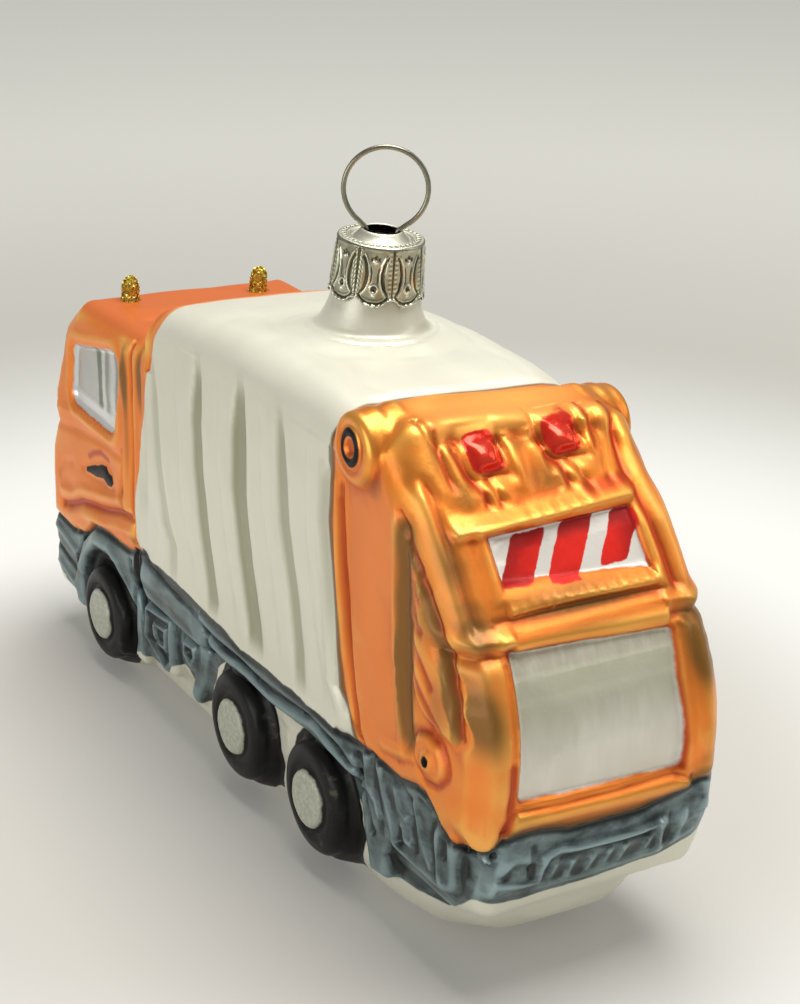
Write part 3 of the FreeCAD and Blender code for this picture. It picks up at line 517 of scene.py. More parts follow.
    def bumper(x, yn, z, ax):
        o = np.zeros(x.shape, F4)
        for pts, w, a in (
            ([(15.4, 15.7), (15.0, 17.1), (11.5, 16.3), (9.0, 16.1), (9.0, 18.0), (8.5, 19.9), (6.8, 20.5), (3.9, 20.1), (-2.0, 19.9), (-4.9, 19.9), (-8.6, 20.4)], 0.55, 0.55),
            ([(7.3, 16.5), (6.9, 18.1)], 0.45, 0.45), ([(4.8, 15.8), (4.4, 18.1)], 0.45, 0.45), ([(2.0, 15.9), (1.5, 17.6)], 0.45, 0.45),
            ([(-0.4, 16.2), (-0.9, 18.0)], 0.45, 0.4), ([(-2.6, 16.3), (-3.2, 18.0)], 0.45, 0.45), ([(-6.4, 16.9), (-6.8, 18.4)], 0.45, 0.45),
            ([(-8.6, 16.2), (-7.9, 20.3)], 0.5, 0.5), ([(-11.0, 17.2), (-11.6, 21.0)], 0.5, 0.35), ([(8.8, 15.2), (2.0, 14.9), (-9.0, 15.6), (-13.0, 17.6)], 0.5, 0.35),
        ):
            o += a * line(x, z, pts, w)
        for pts, w, a in (
            ([(10.4, 18.6), (12.6, 19.4), (14.0, 18.0)], 0.6, 0.4), ([(6.0, 18.9), (-6.4, 19.0)], 0.45, 0.4), ([(15.4, 21.9), (15.7, 19.6), (15.6, 15.7)], 0.45, 0.4),
            ([(10.2, 17.6), (10.2, 21.4)], 0.5, 0.3), ([(-9.8, 16.0), (-9.6, 20.6)], 0.5, 0.35),
        ):
            o -= a * line(x, z, pts, w)
        return o
    put((yn > 50.5) & (z > 12.5) & (z < 22.8) & (ax < 17.5), bumper)
    return h

LEAF = [(41.6, 52.4), (41.0, 49.4), (41.4, 47.4), (40.9, 44.6), (41.3, 42.0), (40.8, 39.6), (41.8, 36.6), (43.2, 35.2), (48.0, 33.8), (50.8, 33.4),
        (51.6, 35.4), (51.2, 37.6), (50.4, 39.6), (49.6, 41.2), (48.2, 43.0), (46.2, 45.6), (44.6, 47.8), (43.2, 50.0), (42.4, 52.4)]
LEAF_CUTS = [
    [(40.7, 47.0), (42.0, 46.2), (43.2, 45.8)], [(41.0, 43.4), (42.8, 42.4), (44.6, 40.8), (45.8, 39.6)],
    [(40.7, 40.0), (42.4, 38.8), (45.0, 36.8), (47.4, 35.0)], [(41.0, 50.0), (42.0, 49.4)], [(40.8, 37.2), (42.6, 36.0), (45.0, 34.4)],
]
BOSS = [(43.6, 30.9), (44.6, 31.2), (46.4, 30.8), (47.2, 29.8), (46.4, 29.0), (44.8, 28.8), (43.4, 29.6)]

def screen(ax, z):
    w = np.maximum(np.abs(z - 46.2) - 6.6, ax - 12.4 - (46.2 - z) * 0.06)
    return smax(w, (ax + np.abs(z - 46.2)) - 17.6, 2.0)

def sign_box(x, z):
    """Distance outside the striped panel's edge."""
    v = z - sign_z(x)
    return np.maximum(np.maximum(v - 2.8, -v - 2.8 + 0.45 + 0.085 * x), np.abs(x + 0.45) - 10.1)

def sign_z(x):
    return 53.4 - 0.012 * x

def hopper(x, z):
    """Signed distance to the outline of the pale hopper panel, by x and height."""
    l = np.interp(z, [28.8, 36.6, 45.0], [13.0, 12.5, 11.7]).astype(F4)
    r = np.interp(z, [27.0, 31.0, 39.0, 44.0], [-10.5, -10.8, -9.9, -11.0]).astype(F4)
    hi = 44.6 + 0.045 * (x - 0.5)
    lo = 27.8 + 0.045 * (x - 0.5)
    return smax(np.maximum(x - l, r - x), np.maximum(z - hi, lo - z), 1.2)

def low_edge(x):
    """Height of the lower end of the gate's orange across the rear."""
    return curve([(-17, 24.6), (-13.7, 25.0), (-10.8, 23.9), (-4.9, 22.6), (1.0, 22.7), (5.3, 22.8), (9.7, 23.8), (12.5, 23.8), (15.0, 23.3), (16.2, 22.0), (17.5, 21.0)], x)

def low_side(yn):
    """Height of the lower end of the white and orange along the sides."""
    return curve([(-41, 25.6), (-39.9, 25.8), (-35.8, 24.8), (-28.1, 25.3), (-17.8, 24.6), (-11.2, 24.3), (-4.9, 23.4), (1.3, 23.8), (10.1, 23.8), (18.4, 23.9), (24.1, 23.5),
                  (30.6, 23.9), (38.0, 23.5), (41.9, 24.7), (44.3, 24.6), (46.4, 23.3), (47.6, 21.5), (49.4, 20.6), (51.2, 20.2), (54, 21.4)], yn)

def grey_edge(yn):
    """Height of the line where the cab's orange meets the grey, over the whole length."""
    return curve([(-78, 19.4), (-72.3, 18.6), (-67.8, 18.2), (-62.7, 19.3), (-57.7, 22.6), (-53.0, 23.2), (-49.1, 23.0), (-44.5, 23.2), (-41.0, 24.6), (-38.0, 25.2)], yn)

def waviness(x, y, z):
    return (0.07 * waves(x, y, z, 0.35, 3) + 0.035 * waves(x, y, z, 0.9, 5)).astype(F4)

def full_sdf(x, y, z):
    d, yn, ax = base_sdf(x, y, z)
    h = relief(x, y, z, yn, ax)
    r, hh = neck_coords(x, y, z)
    keep = sstep(np.maximum(hh, 0) + 0 * r, 3.0, 6.0) * (r < 9)
    flat = 1 - sstep(z, 0.0, 1.2)
    d = d - (h + waviness(x, y, z)) * (1 - keep) * (1 - flat)
    # the neck's bore
    bore = np.maximum(r - 3.9, -9.0 - hh)
    d = np.where(r < 8, np.maximum(d, -bore), d)
    return d.astype(F4)

# ------------------------------------------------------------------ mesh from the distance field
def eval_at(fn, P, chunk=400000):
    out = np.empty(len(P), F4)
    for i in range(0, len(P), chunk):
        q = P[i:i + chunk]
        out[i:i + chunk] = fn(q[:, 0], q[:, 1], q[:, 2])
    return out

def surface(fn, lo, hi, step, k=4, near=3.0):
    """Vertices and quads of the surface fn = 0, on a grid of step mm, refined only near it."""
    lo, hi = np.array(lo, float), np.array(hi, float)
    nc = np.ceil((hi - lo) / (step * k)).astype(int)
    ax = [lo[i] + np.arange(nc[i] + 1) * step * k for i in range(3)]
    C = np.stack(np.meshgrid(*ax, indexing="ij"), -1).reshape(-1, 3).astype(F4)
    dc = eval_at(fn, C).reshape(nc + 1)
    # fine grid, filled from the coarse corner, then evaluated near the surface
    nf = nc * k + 1
    D = np.repeat(np.repeat(np.repeat(dc, k, 0), k, 1), k, 2)[:nf[0], :nf[1], :nf[2]].copy()
    small = np.abs(dc) < near
    act = np.zeros(nc, bool)
    for a in (0, 1):
        for b in (0, 1):
            for c in (0, 1):
                act |= small[a:nc[0] + a, b:nc[1] + b, c:nc[2] + c]
    fine = np.zeros(nf, bool)
    I = np.argwhere(act) * k
    for a in range(k + 1):
        for b in range(k + 1):
            for c in range(k + 1):
                fine[I[:, 0] + a, I[:, 1] + b, I[:, 2] + c] = True
    J = np.argwhere(fine)
    D[J[:, 0], J[:, 1], J[:, 2]] = eval_at(fn, (lo + J * step).astype(F4))
    S = D < 0
    n = nf - 1
    cnt = np.zeros(n, np.uint8)
    for a in (0, 1):
        for b in (0, 1):
            for c in (0, 1):
                cnt += S[a:n[0] + a, b:n[1] + b, c:n[2] + c]
    cell = (cnt > 0) & (cnt < 8)
    A = np.argwhere(cell)
    idx = np.full(n, -1, np.int64)
    idx[A[:, 0], A[:, 1], A[:, 2]] = np.arange(len(A))
    acc, num = np.zeros((len(A), 3)), np.zeros(len(A))
    corner = {}
    for a in (0, 1):
        for b in (0, 1):
            for c in (0, 1):
                corner[a, b, c] = D[A[:, 0] + a, A[:, 1] + b, A[:, 2] + c].astype(float)
    for p in corner:
        for d in range(3):
            if p[d] == 0:
                q = list(p); q[d] = 1; q = tuple(q)
                u, v = corner[p], corner[q]
                m = (u < 0) != (v < 0)
                t = np.where(m, u / np.where(m, u - v, 1), 0)
                pt = np.zeros((len(A), 3)) + np.array(p, float)
                pt[:, d] = t
                acc += pt * m[:, None]
                num += m
    P = lo + (A + acc / num[:, None]) * step
    quads = []
    for d in range(3):
        e = [slice(None)] * 3
        s0, s1 = list(e), list(e)
        s0[d], s1[d] = slice(0, -1), slice(1, None)
        ch = S[tuple(s0)] != S[tuple(s1)]
        K = np.argwhere(ch)
        o1, o2 = [i for i in range(3) if i != d]
        K = K[(K[:, o1] > 0) & (K[:, o2] > 0) & (K[:, o1] < n[o1]) & (K[:, o2] < n[o2])]
        def cell_at(i, j):
            q = K.copy(); q[:, o1] -= i; q[:, o2] -= j
            return idx[q[:, 0], q[:, 1], q[:, 2]]
        Q = np.stack([cell_at(1, 1), cell_at(0, 1), cell_at(0, 0), cell_at(1, 0)], 1)
        inside = S[K[:, 0], K[:, 1], K[:, 2]]
        flip = inside if d != 1 else ~inside
        Q[~flip] = Q[~flip][:, ::-1]
        quads.append(Q)
    return P.astype(F4), np.concatenate(quads)

def gradient(fn, P, e=0.12):
    G = np.empty(P.shape, F4)
    for d in range(3):
        o = np.zeros(3, F4); o[d] = e
        G[:, d] = (eval_at(fn, P + o) - eval_at(fn, P - o)) / (2 * e)
    return G

def project(fn, P, n=2, most=0.35):
    for _ in range(n):
        G = gradient(fn, P)
        f = eval_at(fn, P)
        s = -f / np.maximum((G * G).sum(1), 0.25)
        s = s[:, None] * G
        l = np.maximum(np.linalg.norm(s, axis=1), 1e-9)
        P = (P + s * np.minimum(1, most / l)[:, None]).astype(F4)
    return P

def new_mesh(name, P, faces):
    me = bpy.data.meshes.new(name)
    P = np.asarray(P, np.float32)
    faces = np.asarray(faces, np.int32)
    k = faces.shape[1]
    me.vertices.add(len(P))
    me.vertices.foreach_set("co", (P * 0.001).ravel())
    me.loops.add(len(faces) * k)
    me.loops.foreach_set("vertex_index", faces.ravel())
    me.polygons.add(len(faces))
    me.polygons.foreach_set("loop_start", np.arange(len(faces), dtype=np.int32) * k)
    me.polygons.foreach_set("loop_total", np.full(len(faces), k, np.int32))
    me.update(calc_edges=True)
    me.validate()
    return me

def link(name, me):
    ob = bpy.data.objects.new(name, me)
    bpy.context.scene.collection.objects.link(ob)
    return ob

def apply_modifiers(ob):
    dg = bpy.context.evaluated_depsgraph_get()
    me = bpy.data.meshes.new_from_object(ob.evaluated_get(dg))
    ob.modifiers.clear()
    old = ob.data
    ob.data = me
    me.name = old.name
    return ob

def coords(me):
    co = np.empty(len(me.vertices) * 3, np.float32)
    me.vertices.foreach_get("co", co)
    return co.reshape(-1, 3) * 1000

def set_coords(me, P):
    me.vertices.foreach_set("co", (np.asarray(P, np.float32) * 0.001).ravel())
    me.update()

def attr(me, name, values):
    a = me.attributes.get(name) or me.attributes.new(name, "FLOAT", "POINT")
    a.data.foreach_set("value", np.asarray(values, np.float32))


# ------------------------------------------------------------------ painted glass body
STEP = 0.4
P, Q = surface(full_sdf, (-20.4, -69.2, -0.6), (20.4, 69.2, 81.6), STEP)
P = project(full_sdf, P, 2)
me = new_mesh("glass_body_painted", P, Q)
glass = link("glass_body_painted", me)
def neighbour_mean(E, n, V, times, lam=0.5):
    deg = np.bincount(E.ravel(), minlength=n).astype(np.float32)
    deg = np.maximum(deg, 1)[:, None]
    V = V.reshape(n, -1).astype(np.float32)
    for _ in range(times):
        S = np.empty_like(V)
        for c in range(V.shape[1]):
            S[:, c] = np.bincount(E[:, 0], V[E[:, 1], c], n) + np.bincount(E[:, 1], V[E[:, 0], c], n)
        V = V + lam * (S / deg - V)
    return V

def blob(u, v, cu, cv, ru, rv):
    return np.exp(-((u - cu) / ru) ** 2 - ((v - cv) / rv) ** 2)

def paint(me, P, N, hold=False):
    """Signed distances (mm, + inside) to the painted areas, and how hollow the surface is.
    With hold, only how near each vertex is to an edge of the paint."""
    x, y, z = P[:, 0], P[:, 1], P[:, 2]
    yn, ax = y - SY, np.abs(x)
    n = len(P)
    wob = waves(x, y, z, 0.9, 11) * 0.22 + waves(x, y, z, 2.3, 12) * 0.09      # the brush's unsteadiness
    side = sstep(np.abs(N[:, 0]), 0.45, 0.75)
    rearness = sstep(N[:, 1], 0.25, 0.6)

    # cab and tailgate, orange
    edge = np.interp(z, [22, 25.7, 32.9, 41.4, 49.8, 55.0, 58.9, 61.5, 63.5], [-40.6, -40.7, -40.9, -39.4, -36.9, -34.9, -33.2, -32.2, -31.4]).astype(F4)
    cab = np.minimum(edge + 0.4 - yn, z - grey_edge(yn))
    edge = np.interp(z, [20, 24.9, 29.8, 39.2, 47.0, 52.2, 59.0, 63.0], [28.4, 27.0, 23.8, 22.6, 21.5, 20.9, 21.3, 21.3]).astype(F4)
    edge = np.where(z > 63.0, 21.3 + 1.0 * sstep(z, 63, 66.5), edge)
    low = np.where((yn > 51.6) & (ax < 16.9), low_edge(x), low_side(yn))
    gate = np.minimum(yn - edge, z - low)
    orange = np.maximum(cab, gate) + 0.4 * wob
    # chassis, grey-blue
    glow = np.interp(yn, [-80, -76, -70, -66, -64, -46, -44.4, -41.4, -40.8, -33.0, -31.0, -29.0, -27.4, -26.6, -25.0, -20.0, -17.0, -14.0, 2.0, 4.5, 7.0, 25.6, 27.0, 29.6, 33.0, 38.7, 42.5, 47, 51, 54, 60],
                     [11.0, 10.0, 7.2, 6.4, 5.4, 5.0, 6.0, 7.4, 7.0, 7.0, 9.4, 10.6, 10.2, 6.6, 5.4, 8.6, 15.0, 17.6, 17.9, 18.4, 18.2, 14.0, 9.4, 5.8, 6.9, 6.8, 6.6, 9.6, 12.5, 14.0, 14.4]).astype(F4)
    gz = curve([(-18, 19.4), (-13.7, 16.2), (-9.6, 14.6), (2.0, 13.6), (10.8, 13.8), (15.5, 14.2), (18, 14.2)], x)
    glow = glow + (np.maximum(gz, 13.4) - glow) * sstep(yn, 50.5, 53.5)
    front_low = np.where(yn < -72, 8.6, 0)
    glow = np.maximum(glow, front_low)
    ghi = np.where(yn < -39.5, grey_edge(yn), np.where((yn > 51.6) & (ax < 16.9), low_edge(x), low_side(yn)))
    grey = np.minimum(z - glow + 0.5 * wob, ghi - z - 0.4 * wob + 0.22)
    # tyres and hubs
    ty = np.full(n, -9.0, F4); hub = ty.copy(); rr = np.full(n, 20.0, F4)
    for (wy, wz, r0), inner in zip(WHEELS, (15.0, 14.7, 13.8)):
        r = np.hypot(yn - wy, z - wz)
        d = tyre(ax, yn, z, wy, wz, r0)
        top = 3.0 if wy > -50 else 1.2
        lim = (wz + (r0 - top + 1.2)) - z + 0.02 * (yn - wy) ** 2
        ty = np.maximum(ty, np.minimum(np.minimum(np.minimum(0.75 - d, r0 + 1.3 - r), np.maximum(lim, 6.9 - r) + 2.0), ax - inner))
        hub = np.maximum(hub, np.where(ax > 17.4, 4.0 - r + 0.12 * wob, -9))
        rr = np.minimum(rr, r)
    ty = ty + 0.5 * wob
    # red: lamps, stripes; thin red lines
    lamp = np.full(n, -9.0, F4)
    back = (yn > 31) & (N[:, 1] > -0.2)
    for x0, x1, z0, z1 in ((4.1, 8.8, 62.1, 66.2), (-7.7, -2.9, 62.3, 66.3)):
        q = smax(np.abs(x - (x0 + x1) / 2) - (x1 - x0) / 2, np.abs(z - (z0 + z1) / 2) - (z1 - z0) / 2, 1.2)
        lamp = np.maximum(lamp, np.where(back, -q, -9))
    lamp += 0.5 * wob
    sign = np.where(back, -sign_box(x, z - 0.12), -9) + 0.12 * wob
    hop = np.where((yn > 45), -hopper(x, z), -9) + 0.35 * wob
    red = np.full(n, 9.0, F4)
    cs = (ax > 15.5)
    for pts, w in (([(-59.0, 33.8), (-57.0, 35.0), (-54.4, 35.9), (-51.6, 35.6)], 0.35),
                   # red line in the crease over the step, partly a painted shade under the ridge above it
                   ([(-68.5, 22.5), (-62.5, 25.0), (-58.2, 25.9), (-54.5, 26.5), (-50.8, 27.5), (-47.5, 28.5), (-44.0, 29.2)], 0.35),
                   ([(-41.9, 56.5), (-41.8, 43.6), (-42.2, 30.0)], 0.25),
                   ):
        red = np.minimum(red, np.where(cs & (yn < -38), seg(yn, z, pts) - w, 9))
    for pts, w in (([(23.3, 55.6), (23.8, 47.8), (24.7, 38.9), (26.2, 31.2), (27.6, 26.2), (29.1, 24.1)], 0.25),
                   ([(38.1, 56.3), (40.3, 54.5), (42.7, 51.6), (45.2, 48.9), (47.4, 46.1), (49.2, 42.9), (50.8, 39.4), (51.8, 35.6)], 0.1)):
        red = np.minimum(red, np.where((ax > 13) & (yn > 20), seg(yn, z, pts) - w, 9))
    for pts in LEAF_CUTS:
        red = np.minimum(red, np.where((ax > 12) & (yn > 38), seg(yn, z, pts) - 0.25, 9))
    red = np.minimum(red, np.where((ax > 14) & (yn > 38), np.abs(poly2(yn, z, BOSS) - 2.0) - 0.2, 9))
    for pts, w in (([(13.9, 33), (14, 30.3), (14.2, 27), (14.6, 24.6)], 0.5), ([(11.7, 45.0), (12.3, 38.0)], 0.35), ([(-10.6, 44.0), (-9.9, 39.0), (-10.8, 31.0), (-10.6, 27.4)], 0.45),
                   ([(-12.6, 59.2), (-8.0, 59.0), (-5.6, 59.0)], 0.45), ([(10.5, 64.8), (9.9, 62.5), (8.2, 60.3), (8.2, 59.5)], 0.35), ([(-2.4, 62.6), (-3.7, 61.4), (-3.9, 59.8)], 0.35),
                   ([(12.0, 67.4), (12.3, 64.0), (12.0, 61.4)], 0.2), ([(-9.9, 67.4), (-9.9, 64.0), (-9.6, 62.4)], 0.2), ([(-13.6, 67.0), (-13.4, 63.4)], 0.15),
                   ([(-13.1, 63.2), (-12.0, 59.0), (-12.6, 55.6), (-13.1, 51.7), (-13.2, 48.3)], 0.35)):
        red = np.minimum(red, np.where(back, seg(x, z, pts) - w, 9))
    # window panes: sides and the screen
    win = np.where(cs & (yn < -40), -(poly2(yn, z, WINDOW) - 2.2), -9)
    win = np.maximum(win, np.where((yn < -62) & (N[:, 1] < -0.5), -(screen(ax, z) - 0.1), -9)) + 0.25 * wob
    # black details
    rb = np.hypot((yn - 26.9) * 1.12, z + sag(x, yn, z) - 63.8)
    black_and_shade = np.where(ax > 18.2, 0.55 - np.abs(rb - 1.95), -9)
    black_and_shade = np.maximum(black_and_shade, np.where(cs & (yn < -40), 0.1 - poly2(yn, z, HANDLE), -9))
    black_and_shade = np.maximum(black_and_shade, np.where((ax > 14) & (yn > 40), 0.75 - np.hypot(yn - 45.1, z - 29.6), -9)) + 0.12 * wob
    # painted shade: the neck's inside is painted black
    rn, hn = neck_coords(x, y, z)
    black_and_shade = np.maximum(black_and_shade, np.where((hn > -9.5) & (z > 50) & (hn < 12.0), 4.3 - rn, -9))
    # painted shade: black in the gap behind the front wheel's arch
    black_and_shade = np.maximum(black_and_shade, np.where((ax > 14) & (yn < -38), 0.2 - poly2(yn, z, [(-42.6, 24.4), (-40.6, 24.2), (-40.8, 20.0), (-42.0, 17.0), (-43.0, 19.0)]), -9) + 0.3 * wob)
    # dark seam where orange or white meets the grey, and round the tyres
    seam = np.abs(z - ghi) * np.where(side > 0.2, 1, 1.2)
    # painted shade and painted dark reflections, olive-brown, on the tailgate and the cab
    dark_shading = np.zeros(n, F4)
    gs = sstep(ax, 13.0, 15.5) * sstep(yn, 22, 24)
    l = np.interp(z, [29.8, 34.8, 39.8, 47.5, 54.6], [39.3, 38.4, 37.5, 37.1, 36.9]); r_ = np.interp(z, [30.4, 35.5, 43.6, 48.7, 55.4], [40.8, 40.1, 40.3, 40.1, 39.2])
    dark_shading += 1.0 * bump(yn - (l + r_) / 2, 2.0) * gs * sstep(z, 26, 31) * (1 - sstep(z, 56, 60))
    dark_shading += 0.55 * blob(yn, z, 47.5, 38.0, 3.0, 5.0) * gs + 0.5 * blob(yn, z, 43.5, 47.0, 2.2, 4.0) * gs
    bk = sstep(yn, 32, 34) * sstep(N[:, 1], 0.1, 0.4)
    dark_shading += bk * (1.35 * blob(x, z, -14.8, 41.8, 3.0, 5.0) + 0.4 * blob(x, z, -15.0, 30.5, 2.6, 4.0) + 1.05 * blob(x, z, 16.6, 38.8, 2.5, 5.2) + 0.7 * blob(x, z, 15.0, 47.5, 2.4, 2.2)
                + 0.8 * blob(x, z, 15.5, 54.5, 2.0, 4.5) + 0.9 * blob(x, z, 0, 48.3, 13.0, 0.9) + 0.75 * blob(x, z, 2, 50.2, 12.0, 0.8) + 0.1 * blob(x, z, 12.6, 56.0, 1.6, 5.0) + 0.45 * blob(x, z, 0, 46.6, 12.0, 0.6) + 0.34 * blob(x, z, 2.0, 60.8, 10.0, 2.6) + 0.5 * blob(x, z, 16.8, 63.2, 1.8, 2.2) + 0.45 * blob(x, z, 13.2, 65.0, 1.0, 2.4) + 0.5 * blob(x, z, -11.6, 63.6, 1.2, 2.4) + 0.4 * blob(x, z, -15.6, 61.0, 1.4, 3.0) + 0.45 * blob(x, z, 1.0, 64.4, 11.0, 0.8) + 0.35 * blob(x, z, -1.0, 60.6, 2.6, 1.6) + 0.35 * blob(x, z, -11.6, 57.6, 1.6, 3.0) + 0.5 * blob(x, z, 12.0, 30.5, 1.6, 4.0) + 0.55 * blob(x, z, 11.4, 61.0, 1.5, 2.0) + 0.4 * blob(x, z, -8.5, 61.4, 1.6, 1.6))
    dark_shading += bk * (0.75 * bump(z - low_edge(x) - 0.7, 0.9) + 0.3 * bump(z - low_edge(x) - 2.6, 1.2)) * (1 - sstep(ax, 15, 17)) + bk * 0.32 * blob(x, z, 0, 45.0, 13.0, 1.5)
    dark_shading += 0.55 * blob(yn, z, 31.0, 60.0, 2.6, 2.2) * gs
    dark_shading += 0.78 * gs * bump(seg(yn, z, [(38.6, 56.0), (40.6, 54.0), (42.9, 51.2), (45.2, 48.4), (47.2, 45.6), (48.9, 42.5), (50.3, 38.8), (51.0, 35.4)]), 1.0) * (0.15 + 0.85 * sstep(z, 34.0, 44.0))
    # painted golden highlights on the barrel's top, on the tailgate's side by the barrel and on the cab
    lit = 0.55 * (yn > 21.5) * (z > 60) * blob(x, z, 2.0, 67.0, 14.0, 1.5) + gs * 0.8 * blob(yn, z, 28.0, 66.0, 3.0, 1.4)
    lit += (ax > 12) * (yn < -30) * (1.7 * blob(yn, z, -37.2, 58.6, 2.3, 1.7) + 0.9 * blob(yn, z, -44.8, 56.8, 1.2, 1.0) + 0.5 * blob(yn, z, -40.0, 27.6, 2.0, 0.8))
    attr_lit = lit
    # painted dark reflections down the cab's side, by its pillars
    cb = sstep(ax, 15, 17) * (yn < -38)
    dark_shading += cb * (1.1 * blob(yn, z, -43.9, 51.0, 1.0, 5.5) + 1.2 * blob(yn, z, -38.2, 52.5, 1.3, 5.0) + 0.5 * blob(yn, z, -43.6, 40.0, 0.8, 6.0) + 0.4 * blob(yn, z, -46.5, 31.0, 1.2, 5.0) + 0.7 * blob(yn, z, -42.6, 25.6, 1.2, 1.0))
    # painted shade, olive-grey, in the grooves between the ribs
    gro = np.zeros(n, F4)
    for k, g in enumerate(GROOVES):
        c = np.interp(z, [b for a, b in g], [a for a, b in g])
        m = sstep(z, 24.0, 27.5) * (1 - sstep(z, g[-1][1] - 5.0, g[-1][1] + 1.0)) * sstep(ax, 14.5, 17.0)
        tp = 1 - 0.5 * sstep(z, g[-1][1] - 10.0, g[-1][1] - 1.0)
        gro = np.maximum(gro, (0.45, 0.95, 1.0, 0.8)[k] * (1 - sstep(np.abs(yn - c), (GROOVE_W[k] - 0.6) * tp, (GROOVE_W[k] + 0.5) * tp)) * m)
    # painted shadow on the container just before the tailgate's front edge
    e = gate_line(z) - yn
    gro = np.maximum(gro, 0.5 * bump(e - 1.6, 1.0) * sstep(z, 30, 44) * (1 - sstep(z, 56, 60)) * (ax > 14))
    attr(me, "gro", gro)
    # brown line along the tailgate's front edge
    brn = np.where((ax > 12) & (yn < 32) & (z > 22.5) & (z < 62), np.abs(gate_line(z) - yn) - 0.75, 9)
    brn = np.minimum(brn, np.where((z > 62) & (yn > 18) & (yn < 26), np.abs(yn - edge) - 0.35, 9))
    # how satin the orange is: the plate and the cab are matter than the tailgate's back
    plate = sstep(ax, 14.5, 17.0) * (yn > 20) * (yn < 37) * (1 - sstep(z, 57, 61)) + (yn < -30) * 1.0
    plate = np.maximum(plate, 0.8 * (yn > 20) * sstep(z, 64.5, 66.5) * (1 - sstep(ax, 11, 14)))
    plate = np.maximum(plate, 0.55 * bk * (1 - 0.5 * sstep(z, 57.0, 59.0)) + 0.4 * gs * sstep(yn, 37, 39))
    if hold:
        near = np.full(n, 9.0, F4)
        for v in (orange, grey, ty, hub, -red, win, black_and_shade):
            near = np.minimum(near, np.abs(v))
        return near
    E = np.empty(len(me.edges) * 2, np.int32)
    me.edges.foreach_get("vertices", E)
    E = E.reshape(-1, 2)
    L = np.linalg.norm(P[E[:, 0]] - P[E[:, 1]], axis=1)
    M = neighbour_mean(E, n, P, 14)
    cav = ((M - P) * N).sum(1)                     # + in hollows, - on ridges
    attr(me, "cav", neighbour_mean(E, n, cav, 3)[:, 0])
    for k, v in (("orange", orange), ("grey", grey), ("tyre", ty), ("hub", hub), ("lamp", lamp), ("sign", sign), ("hopper", hop),
                 ("redline", -red), ("window", win), ("black_and_shade", black_and_shade), ("seam", seam), ("painted_dark_shading", dark_shading), ("brown", -brn)):
        attr(me, k, np.clip(v, -6, 6))
    attr(me, "plate", np.clip(plate, 0, 1)); attr(me, "lit", np.clip(attr_lit, 0, 1))
    # darker red: on upward faces a painted shade, chiefly over the cab's roof, and two red-tinted patches on the
    # tailgate's side
    red_tint_and_top_shade = (yn > 22) * sstep(N[:, 2], 0.75, 0.95) * 0.12 + (yn < -33) * sstep(N[:, 2], 0.35, 0.8) * 0.95 + gs * 0.5 * blob(yn, z, 27.0, 63.0, 5.0, 5.0) + gs * 0.35 * blob(yn, z, 26.0, 45.0, 2.0, 14.0)
    attr(me, "red_tint_and_top_shade", np.clip(red_tint_and_top_shade, 0, 1))
    attr(me, "wheel_r", np.clip(rr, 0, 20))
    # grey's brightness: lighter on the rear bumper, and a painted shadow along the top of the rail over the rear wheels
    attr(me, "gtone", 1 + 0.32 * sstep(yn, 50.5, 53.0) - 0.3 * sstep(yn, -16, -12) * (1 - sstep(yn, 24, 28)) * sstep(z, 20.5, 22.5))

def gate_line(z):
    return np.interp(z, [20, 24.9, 29.8, 39.2, 47.0, 52.2, 59.0, 63.0], [28.4, 27.0, 23.8, 22.6, 21.5, 20.9, 21.3, 21.3]).astype(F4)

# fewer triangles where the glass is smooth, none lost along the paint's edges
P = coords(me)
N = np.empty(len(P) * 3, np.float32)
me.vertices.foreach_get("normal", N)
near = paint(me, P, N.reshape(-1, 3), hold=True)
vg = glass.vertex_groups.new(name="even")
w = 1 - sstep(near, 0.35, 0.75)
idx = np.nonzero(w > 0.5)[0]
vg.add([int(i) for i in idx], 1.0, "REPLACE")
m = glass.modifiers.new("d", "DECIMATE"); m.ratio = min(1.0, 197000 / (2 * len(me.polygons)))
m.vertex_group = "even"; m.invert_vertex_group = True; m.vertex_group_factor = 0.6
apply_modifiers(glass)
glass.vertex_groups.clear()
P = project(full_sdf, coords(glass.data), 1, 0.1)
set_coords(glass.data, P)
print("decimated %.1f s" % (time.time() - T0), len(idx))
me = glass.data
P = coords(me)
G = gradient(full_sdf, P, 0.15)
N = G / np.maximum(np.linalg.norm(G, axis=1), 1e-6)[:, None]
me.polygons.foreach_set("use_smooth", np.ones(len(me.polygons), bool))
me.normals_split_custom_set_from_vertices([tuple(v) for v in N.tolist()])
print("glass mesh %.1f s" % (time.time() - T0), len(me.vertices), len(me.polygons))

paint(me, P, N)
print("paint %.1f s" % (time.time() - T0))

# ------------------------------------------------------------------ stamped cap, wire loop, glitter beacons
AX_R = np.cross([0, 0, 1.0], LDIR.tolist() + [0.0]) if len(LDIR) == 2 else None
NECK_ROT = np.array(Matrix.Rotation(LEAN, 3, Vector(AX_R)))

def from_neck(L):
    return L @ NECK_ROT.T + NFOOT

def ring_grid(rows):
    """Closed tube of quads through rings of equal length; rows is (m, n, 3)."""
    m, n, _ = rows.shape
    a = np.arange(m * n).reshape(m, n)
    b = np.roll(a, -1, 1)
    c = np.roll(a, -1, 0)
    d = np.roll(b, -1, 0)
    return rows.reshape(-1, 3), np.stack([a, b, d, c], -1).reshape(-1, 4)

def smooth(me):
    me.polygons.foreach_set("use_smooth", np.ones(len(me.polygons), bool))

